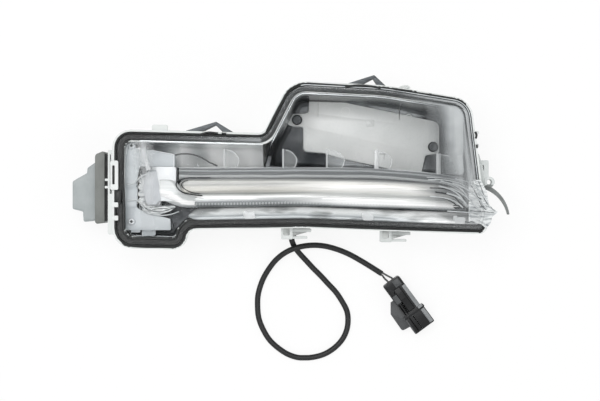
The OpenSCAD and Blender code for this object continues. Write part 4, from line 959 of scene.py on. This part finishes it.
# Smooth face that leans over the holder and the collimator's ribs
face_plate = [(-108.4, -7.6, 3), (-111.2, -20.1, 6), (-108.3, -32, 2), (-101.4, -32.2, 2), (-97.6, -28.4, 2),
              (-100.8, -6.6, 1)]
build("holder_face", [plate(face_plate, 46.2, 46.9, 47.2, 0.4)], painted_light_abs, "carrier_plastic", (), 40)

# Painted highlights along the carrier's edges: the bent rib's crest, the upper plate's rim and the rounded
# corner at the top
carrier_edge_highlights = [(0.8, [(-114.8, 10.6, 46.4), (-112.6, 10, 46.5), (-110.7, 8.4, 46.6), (-109.3, 4.7, 46.6),
                        (-108.3, 1.4, 46.6), (-106.6, -4.8, 46.6)]),
                 (0.35, [(-105, 9.2, 43.6), (-96, 7.4, 43.6), (-88.4, 5.9, 43.6), (-88.1, 4.6, 43.6),
                         (-88, -4, 43.6)]),
                 (0.6, [(-124, 6, 43.8), (-123.9, 10, 43.8), (-122.9, 13, 43.8), (-120.6, 14.6, 43.8),
                        (-114.8, 15, 43.8)])]
build("carrier_edge_highlights", [round_strand(line, thick, 10) for thick, line in carrier_edge_highlights], nylon_white_and_highlight,
      "carrier_plastic", (), 60)


# Light guide: a crowned bar and its step, swept along a line that falls to the right
guide_x, guide_end, guide_z = -85.6, 136.7, 34.5
bar_back, bar_wide, bar_low_gap = 6.25, 21, 15.2
nose_y, nose_h = -6.25, 6.5


def guide_line(x):
    """Middle line of the bar's upper half, which falls to the right."""
    return -18 - 4.5 * (max(0, x - 10) / 100) ** 3


def low_edge(x):
    """The sealing outline's lower side."""
    bend_x, bend_y = rim[3][:2]
    return bend_y - (bend_x - x) * 0.018 if x < bend_x else bend_y - (x - bend_x) * 0.0355


# Front of the bar with its shallow crowns and its step, then its underside: share of the width, height
bar_front = [(0.0, 3), (0.0, 9.2), (0.02, 10.8), (0.06, 12), (0.1, 12.5), (0.15, 12.8), (0.2, 12.6),
             (0.25, 12.9), (0.3, 12.8), (0.36, 13), (0.42, 12.7), (0.46, 12.9), (0.5, 12.4), (0.54, 12),
             (0.58, 11), (0.61, 10), (0.64, 9.2), (0.67, 9.3), (0.71, 9.9), (0.76, 9.6), (0.81, 9.8),
             (0.86, 9.5), (0.9, 9.4), (0.94, 8.6), (0.98, 7.6), (1.0, 6.6)]
bar_profile = bar_front + [(1.0, 3), (0.6, 0.1), (0.1, 0.1)]


def swell(x):
    """How full the bar's section is: it closes in a round nose at the left and tapers at the right."""
    a = min(1, (x - guide_x + 0.4) / 8)
    b = min(1, (guide_end + 0.6 - x) / 12)
    return max(0.12, math.sqrt(1 - (1 - a) ** 2) * (0.3 + 0.7 * math.sqrt(1 - (1 - b) ** 2)))


def bar_section(x):
    """The bar's section at x, between its back edge and the trim."""
    top, low = guide_line(x) + bar_back, low_edge(x) + bar_low_gap
    s = swell(x)
    ring = []
    for t, z in bar_profile:
        y = nose_y + (bar_back - bar_wide * t - nose_y) * s
        h = nose_h + (z - nose_h) * s
        ring.append(Vector((x, top - (bar_back - y) * (top - low) / bar_wide, guide_z + h)))
    return ring


bar_xs = [guide_x + d for d in (0, 0.3, 0.8, 1.5, 2.5, 3.8, 5.4, 7.2, 9)]
bar_xs += [guide_x + 14 + (guide_end - guide_x - 28) * i / 44 for i in range(45)]
bar_xs += [guide_end - d for d in (11, 9, 7, 5, 3.4, 2, 1, 0.4, 0)]
bar_rings = [bar_section(x) for x in bar_xs]
build("light_guide_bar", [skin(bar_rings)], prism_acrylic, "clear_acrylic", ("light_guide",), 50,
      across=[t for ring in bar_rings for t, z in bar_profile],
      along=[(x - guide_x) / (guide_end - guide_x) for x in bar_xs for t in bar_profile])

# Neck between the holder and the bar: a clear prism that widens and falls to the step. Below it the inlet
# lies in the carrier's recess
neck_rows = [(-98.6, -13.4, -27.6, 46.2), (-94, -13.2, -29.6, 46.3), (-90, -13.4, -31.2, 46.3),
             (-86, -14.6, -32.8, 46.2), (-81.5, -20.8, -34, 45.9), (-77, -23.4, -34.4, 45.2),
             (-70, -25, -34.4, 43)]
neck_profile = [(0, -3), (0, 0), (0.1, 0.6), (0.45, 0.9), (0.62, 0.5), (0.8, 0.1), (1, -1.4), (1, -3)]
neck_bands = [0.77, 0.74, 0.73, 0.725, 0.66, 0.67, 0.72, 1]
neck = [[Vector((x, top + (low - top) * t, z + h)) for t, h in neck_profile] for x, top, low, z in neck_rows]
# The lower edge reads a darker band of the painted reflections from row to row
build("light_guide_neck", [skin(neck)], prism_acrylic, "clear_acrylic", (), 40,
      across=[band + (0.2 * n / (len(neck_rows) - 1) if i == 6 else 0) for n in range(len(neck_rows))
              for i, band in enumerate(neck_bands)],
      along=[0.2] * (len(neck_rows) * len(neck_bands)))
build("light_guide_inlet", [box_of((-98, -21.8, 43.9), (11.4, 6.6, 0.5), 0.4)], carrier_abs, "clear_acrylic",
      (), 40)
# Bright rib that presses on the carrier's upper plate
rib_corners = [(-112.9, 9.6, 0.5), (-108.4, -6.4, 0.8), (-105.2, -5.4, 0.8), (-109.8, 9.4, 0.5)]
build("carrier_rib", [plate(rib_corners, 43.05, 46, 46.5, 0.4, 4)], nylon_white_and_highlight, "carrier_plastic", (), 40)

# Its flange: fine ribs along the bar's back edge
flange_wide, flange_steps = 8, 30
flange_xs = [guide_x + 1.5 + (guide_end - 5.5 - guide_x) * i / flange_steps for i in range(flange_steps + 1)]
flange_profile = [(-1.8, 7.1), (7.6, 7.1), (flange_wide, 7.5), (flange_wide, 8.9), (7.6, 9.2), (7.1, 9),
                  (6.5, 8.6), (5.8, 9), (5, 9.1), (4.2, 8.6), (3.2, 8.4), (2.2, 8.6), (1.4, 9.1), (0.4, 9),
                  (-1.8, 9)]
flange_rings = [[Vector((x, guide_line(x) + bar_back + u, guide_z + h)) for u, h in flange_profile]
                for x in flange_xs]
build("light_guide_flange", [skin(flange_rings)], ribbed_acrylic, "clear_acrylic", (), 50,
      across=[(flange_wide - u) / flange_wide for x in flange_xs for u, h in flange_profile])

# Five D tabs on the flange, each with an upright rib and a rolled edge: left side, width, height
tabs = [(-48.7, 10.5, 14), (-4, 9.8, 14), (29.1, 12.8, 14), (65.8, 12.1, 14), (112.9, 15.5, 15.5)]
tab_low, tab_high, tab_top = 41.6, 43, 43.4
edge_z = 43.3
tab_parts, rib_parts, rolled = [], [], []
for x, wide, tall in tabs:
    base = guide_line(x) + bar_back + 7.5
    side, top = x + wide, base + tall
    d_shape = [(x, base, 0.5), (side - 3, base, 1), (side, base + tall * 0.4, 5), (side - 2.6, top - 3.4, 5),
               (x + 1, top, 0.8), (x, top, 0.3)]
    tab_parts.append(plate(d_shape, tab_low, tab_high, tab_top, 0.3, 6))
    rib_wide = 1.3 if x < 40 else 3.2
    rib_parts.append(box_of((x - 1.6, base, 40.5), (rib_wide, tall + 0.4, 4.6), 0.3))
    # The rolled edge is a pale strand, a painted highlight
    edge_line = [(x + 1, top - 0.4), (x + wide * 0.5, top - 1.6), (side - 2, top - 4.6),
                 (side - 0.4, base + tall * 0.45), (side - 1.4, base + 1.8), (side - 3, base + 0.2)]
    rolled.append(lifted(edge_line, edge_z))
build("light_guide_tabs", tab_parts, clear_acrylic, "clear_acrylic", (), 40)
build("light_guide_ribs", rib_parts, milky_highlight_acrylic, "clear_acrylic", (), 40)
# Fins that fan out over the bar's right end, made with the tabs' rolled edges: pale strands as painted
# highlights
rolled += [
    [(110, -12.6, 44), (121, -14, 45), (131, -18.5, 45.5), (137.5, -25.5, 45), (141, -33.5, 44)],
    [(113, -15, 46.6), (123, -18, 47), (130, -23.5, 47), (132.5, -31, 45)],
    [(104, -11.4, 44), (118, -12.2, 44), (133, -16, 44), (139.5, -24, 44)],
]
build("light_guide_edges", [round_strand(line, 0.32, steps=5) for line in rolled], milky_highlight_acrylic,
      "clear_acrylic", (), 60)


def bar_height(x, y):
    """Height of the bar's front at a place seen from above."""
    ring = bar_section(x)[:len(bar_front)]
    for a, b in zip(ring, ring[1:]):
        if b[1] <= y <= a[1] and a[1] > b[1]:
            return a[2] + (b[2] - a[2]) * (a[1] - y) / (a[1] - b[1])
    return ring[0][2] if y > ring[0][1] else ring[-1][2]


# Where the bar ends, its back facets show the dark bowl, as painted dark reflections: curls and a tip at the
# right, and two arcs round the nose
facets = [
    (0.6, [(110, -22.6), (118.5, -24), (125.4, -27), (129.4, -31.6)]),
    (0.5, [(112.6, -26.4), (120.6, -28.6), (126.6, -32.6)]),
    (0.8, [(121.4, -20.6), (127, -23), (131.6, -27.6), (134.4, -32.4)]),
    (0.4, [(106, -19.4), (116, -20), (124, -22.6), (130, -27)]),
    (0.6, [(100, -36.2), (116, -36.9), (128, -37), (135.6, -37.4)]),
]
nose_arcs = [
    (0.45, [(-60, -11.9), (-72, -11.7), (-79.5, -12.3), (-84.3, -13.9), (-86, -16.8), (-84.3, -20.3),
            (-79.8, -23.2), (-72, -24.8), (-66, -25.4)]),
    (0.3, [(-77, -13.7), (-80.8, -15.2), (-81.9, -17.4), (-79.3, -20.4), (-74, -22.9), (-68, -24.1)]),
]
dark_facet_reflections = []
for thick, line in facets:
    on_bar = [Vector((p.x, p.y, bar_height(p.x, p.y) - 0.3 * thick))
              for p in smooth_line([(x, y, 0) for x, y in line], 6)]
    dark_facet_reflections.append(skin(strand_rings(on_bar, thick, 8)))
for thick, line in nose_arcs:
    dark_facet_reflections.append(round_strand([(x, y, 47.7) for x, y in line], thick))
tip = [(123, -33, 0.6), (126, -35.8, 0.5), (135.6, -35.6, 0.8), (130, -30.6, 1)]
tip_z = bar_height(131, -33.6)
dark_facet_reflections.append(skin([lifted(rounded(tip, 4), tip_z - 1), lifted(rounded(tip, 4), tip_z + 0.2)]))
build("light_guide_facet_reflections", dark_facet_reflections, metallised_painted_light, "clear_acrylic", (), 60,
      tone=[0.08 for part in dark_facet_reflections for p in part[0]])

# Lower trim: its face and its back, as distance from the sealing outline and height. It closes at the left
trim_face = [(5.7, 55.3), (6.4, 55.9), (7.6, 55.8), (9, 55.3), (10.4, 53.6), (11.8, 50.4), (13.2, 46),
             (14.6, 40.8)]
trim_back = [(13.8, 36), (12.2, 44.6), (10.8, 49), (9.6, 52.4), (8.4, 54), (6.6, 54.4)]
trim_middle, trim_drop = 9.4, 6
trim_xs = [-76.4, -75.8, -74.6, -73, -70.6, -68] + [-66 + 200 * i / 40 for i in range(41)] + [137, 139.2]


def trim_swell(x):
    """How full the trim's section is beside its round left end."""
    a = min(1, (x + 76.6) / 9)
    return math.sqrt(1 - (1 - a) ** 2)


trim_rings = [[Vector((x, low_edge(x) + trim_middle + (o - trim_middle) * trim_swell(x),
                       z - trim_drop * (1 - trim_swell(x)))) for o, z in trim_face + trim_back]
              for x in trim_xs]
trim_bands = [1 - (o - 5.7) / 8.7 for o, z in trim_face + trim_back]
# The painted reflections grow paler towards the right
build("lower_trim_strip", [skin(trim_rings)], pale_metallised, "pale_plastic", ("lower_trim",), 40,
      across=[band * (1 - 0.75 * share_of((x - 70) / 40)) for x in trim_xs for band in trim_bands])
# Three small tabs of the trim
tab_z = 55.6
for i, x in enumerate((-30, 59, 128)):
    y = low_edge(x)
    build("trim_tab_%d" % i, [box_of((x - 4, y + 5.9, tab_z), (8, 5, 1.7), 1.2),
                              box_of((x - 5, y + 8, tab_z), (3, 4, 1), 0.6)], milky_highlight_acrylic, "pale_plastic")


# Connector: its pieces are laid out along the plug, from the head at the leads' end, and then turned in place
plug_place, plug_angle = Vector((78.6, -91.8, 0)), math.radians(-53.6)
plug_top, ring_top = 12.01, 12.81


def on_plug(part):
    points, faces = part
    c, s = math.cos(plug_angle), math.sin(plug_angle)
    return [plug_place + Vector((c * p[0] - s * p[1], s * p[0] + c * p[1], p[2])) for p in points], faces


def plug_bar(profile, start, end):
    """A straight bar along the plug: its section as places across the plug and heights."""
    return skin([[Vector((along, v, z)) for v, z in profile] for along in (start, end)])


def plug_piece(name, parts, material):
    build(name, [on_plug(part) for part in parts], material, "black_plastic", (), 30)


# Polished flank, the edge that runs on over the ring, ribs along the back, head plate, and block by the lock.
# The flank, the edge and the block carry painted reflections, the head plate painted light
flank = [(4.3, plug_top), (7.35, plug_top), (7.3, 12.2), (5.4, 12.7), (4.5, 12.5)]
over_ring = [(4.6, ring_top), (8.6, ring_top), (8.5, 13), (5.6, 13.4), (4.8, 13.2)]
block = [(5.4, plug_top), (8.6, plug_top), (8.4, 12.3), (5.8, 12.6)]
plug_piece("connector_flank", [plug_bar(flank, 8, 28)], painted_sheen_pbt)
plug_piece("connector_ribs", [box_of((19, -6.6, plug_top), (9.6, 0.8, 0.9), 0.2),
                              box_of((19, -4.6, plug_top), (9.6, 0.8, 0.9), 0.2),
                              box_of((31.6, -6, plug_top), (12.4, 1, 1), 0.3)], black_pbt)
plug_piece("connector_edge", [plug_bar(over_ring, 28.1, 30.1),
                              box_of((8, -3.6, plug_top), (19.9, 0.7, 0.7), 0.25),
                              box_of((31.6, -2.6, plug_top), (12.4, 0.8, 1), 0.3)], painted_sheen_pbt)
plug_piece("connector_head", [box_of((0.8, 0.2, plug_top), (6, 5.6, 0.4), 0.3),
                              box_of((10.6, -7, plug_top), (7.4, 4.2, 1.2), 0.6)], satin_painted_light_pbt)
plug_piece("connector_block", [plug_bar(block, 31.6, 44)], painted_sheen_pbt)


# Pieces that keep their solid's own form, each with how far its sharp edges are broken in mm
refined("housing", housing_plastic, 0.3)
refined("mount_posts", housing_plastic, 0.3)
refined("led_holder", nylon_white_and_highlight, 0.5)
refined("collimator", glint_painted_polycarbonate, 0.3)
refined("module_carrier", carrier_abs, 0.3)
refined("driver_box", driver_pbt, 0.5)
refined("driver_collar", collar_elastomer, 0.6)
refined("driver_gasket", gasket_foam, 0.3)
refined("side_clip", housing_plastic, 0.25)
refined("top_clip_left", spring_steel, 0.25)
refined("top_clip_right", spring_steel, 0.25)
refined("bottom_snap_left", acetal, 0.25)
refined("bottom_snap_right", acetal, 0.25)
# Thin webs inside the two snap hooks: they close the frame and stand between its arms
for side, x, y in (("left", -6.6, low_edge(-6.6) + 2.95), ("right", 68.2, low_edge(77.2) + 2.95)):
    panels = [[(x + 2.05, y - 9.95), (x + 6.45, y - 9.95), (x + 6.45, y - 4.05), (x + 2.05, y - 4.05)],
              [(x + 9.05, y - 5.14), (x + 22.4, y - 5.14), (x + 20.6, y - 3.6), (x + 9.05, y - 3.6)],
              [(x + 9.05, y - 10.54), (x + 19.6, y - 7.68), (x + 9.05, y - 7.68)]]
    build("snap_webs_" + side, [skin([lifted(panel, z) for z in (43.2, 46.8)]) for panel in panels],
          painted_shade_acetal_web, "snap_plastic", (), 30)
# The bracket's arm, which starts right of and below this place in metres, has a sleeve of its own
arm_right, arm_below = 0.147, -0.0172
bracket = refined("side_bracket", bracket_pp, 0.3)
bracket.data.materials.append(arm_elastomer)
for face in bracket.data.polygons:
    if face.center[0] > arm_right and face.center[1] < arm_below:
        face.material_index = 1
refined("vent_cap", black_pbt, 0.25)
refined("cable_gland", gasket_foam, 0.3)
# The plug's wing, beyond this place across it, comes from the matt part of the tool and carries its painted
# light
wing_start = -7.45
plug = refined("connector_body", black_pbt, 0.35)
plug.data.materials.append(satin_painted_light_pbt)
for face in plug.data.polygons:
    x, y = face.center[0] / MM - plug_place[0], face.center[1] / MM - plug_place[1]
    if math.cos(plug_angle) * y - math.sin(plug_angle) * x < wing_start:
        face.material_index = 1
refined("connector_lock", black_pbt, 0.3)
refined("connector_seal", silicone, 0.15)
refined("connector_terminals", tinned_brass, 0.1)
refined("reflector_screws", dark_steel, 0.2)
refined("carrier_screws", flake_coat, 0.2)
refined("driver_screws", zinc_steel, 0.2)
refined("heat_sink", bare_aluminium, 0.15)
refined("led_board", solder_mask, 0.1)
refined("led_chips", phosphor, 0.1)
refined("lead_wire", wire_pvc, 0)
refined("connector_wires", wire_pvc, 0)

cable_mesh.shade_smooth()
cable_mesh.set_sharp_from_angle(angle=math.radians(50))
cable_mesh.materials.append(sheath_pvc)


def seen_plainly(owner):
    """1 for what the camera sees straight, mirrored or through clear pieces, and 0 for light that falls."""
    rays = node(owner, "LightPath")
    seen = node(owner, "Math", {0: rays.outputs["Is Camera Ray"], 1: rays.outputs["Is Glossy Ray"]},
                operation="MAXIMUM")
    return node(owner, "Math", {0: seen.outputs["Value"], 1: rays.outputs["Is Transmission Ray"]},
                operation="MAXIMUM").outputs["Value"]


# Floor: white to the eye, with the lamp's soft shadow kept in it
glow_share = 0.85
floor_material = bpy.data.materials.new("white_floor")
floor_material.use_nodes = True
floor_material.node_tree.nodes.clear()
paper = node(floor_material, "BsdfDiffuse", {"Color": linear("f4f4f4")})
glow = node(floor_material, "Emission", {"Color": (1, 1, 1, 1), "Strength": 1.0})
glowing = node(floor_material, "Math", {0: seen_plainly(floor_material), 1: glow_share}, operation="MULTIPLY")
shown = node(floor_material, "MixShader", {0: glowing.outputs["Value"], 1: paper.outputs[0],
                                           2: glow.outputs[0]})
node(floor_material, "OutputMaterial", {"Surface": shown.outputs[0]})
floor_mesh = bpy.data.meshes.new("floor")
floor_mesh.from_pydata([(-3, -3, 0), (3, -3, 0), (3, 3, 0), (-3, 3, 0)], [], [[0, 1, 2, 3]])
floor_mesh.materials.append(floor_material)
floor = bpy.data.objects.new("floor", floor_mesh)
scene.collection.objects.link(floor)

# Light: an even white room, a large soft box from the upper left, and weaker ones at the right and the front
world = bpy.data.worlds.new("studio")
scene.world = world
world.use_nodes = True
world.node_tree.nodes.clear()
room = node(world, "Background", {"Color": (1, 1, 1, 1), "Strength": 0.55})
white = node(world, "Background", {"Color": (1, 1, 1, 1), "Strength": 1.0})
mixed = node(world, "MixShader", {0: seen_plainly(world), 1: room.outputs[0], 2: white.outputs[0]})
node(world, "OutputWorld", {"Surface": mixed.outputs[0]})


def soft_box(name, place, size, power):
    """A lamp with a rectangular face, turned towards the middle of the object."""
    data = bpy.data.lights.new(name, "AREA")
    data.shape = "RECTANGLE"
    data.size, data.size_y = size
    data.energy = power
    lamp = bpy.data.objects.new(name, data)
    lamp.location = place
    lamp.rotation_mode = "QUATERNION"
    lamp.rotation_quaternion = (-Vector(place)).to_track_quat("-Z", "Y")
    scene.collection.objects.link(lamp)


soft_box("overhead_box", (-0.35, 0.3, 1.7), (1.3, 1.0), 17)
soft_box("right_box", (1.2, -0.1, 1.1), (0.6, 0.9), 3)
soft_box("front_box", (0.0, -1.3, 0.9), (1.2, 0.5), 2.5)

bpy.context.view_layer.update()
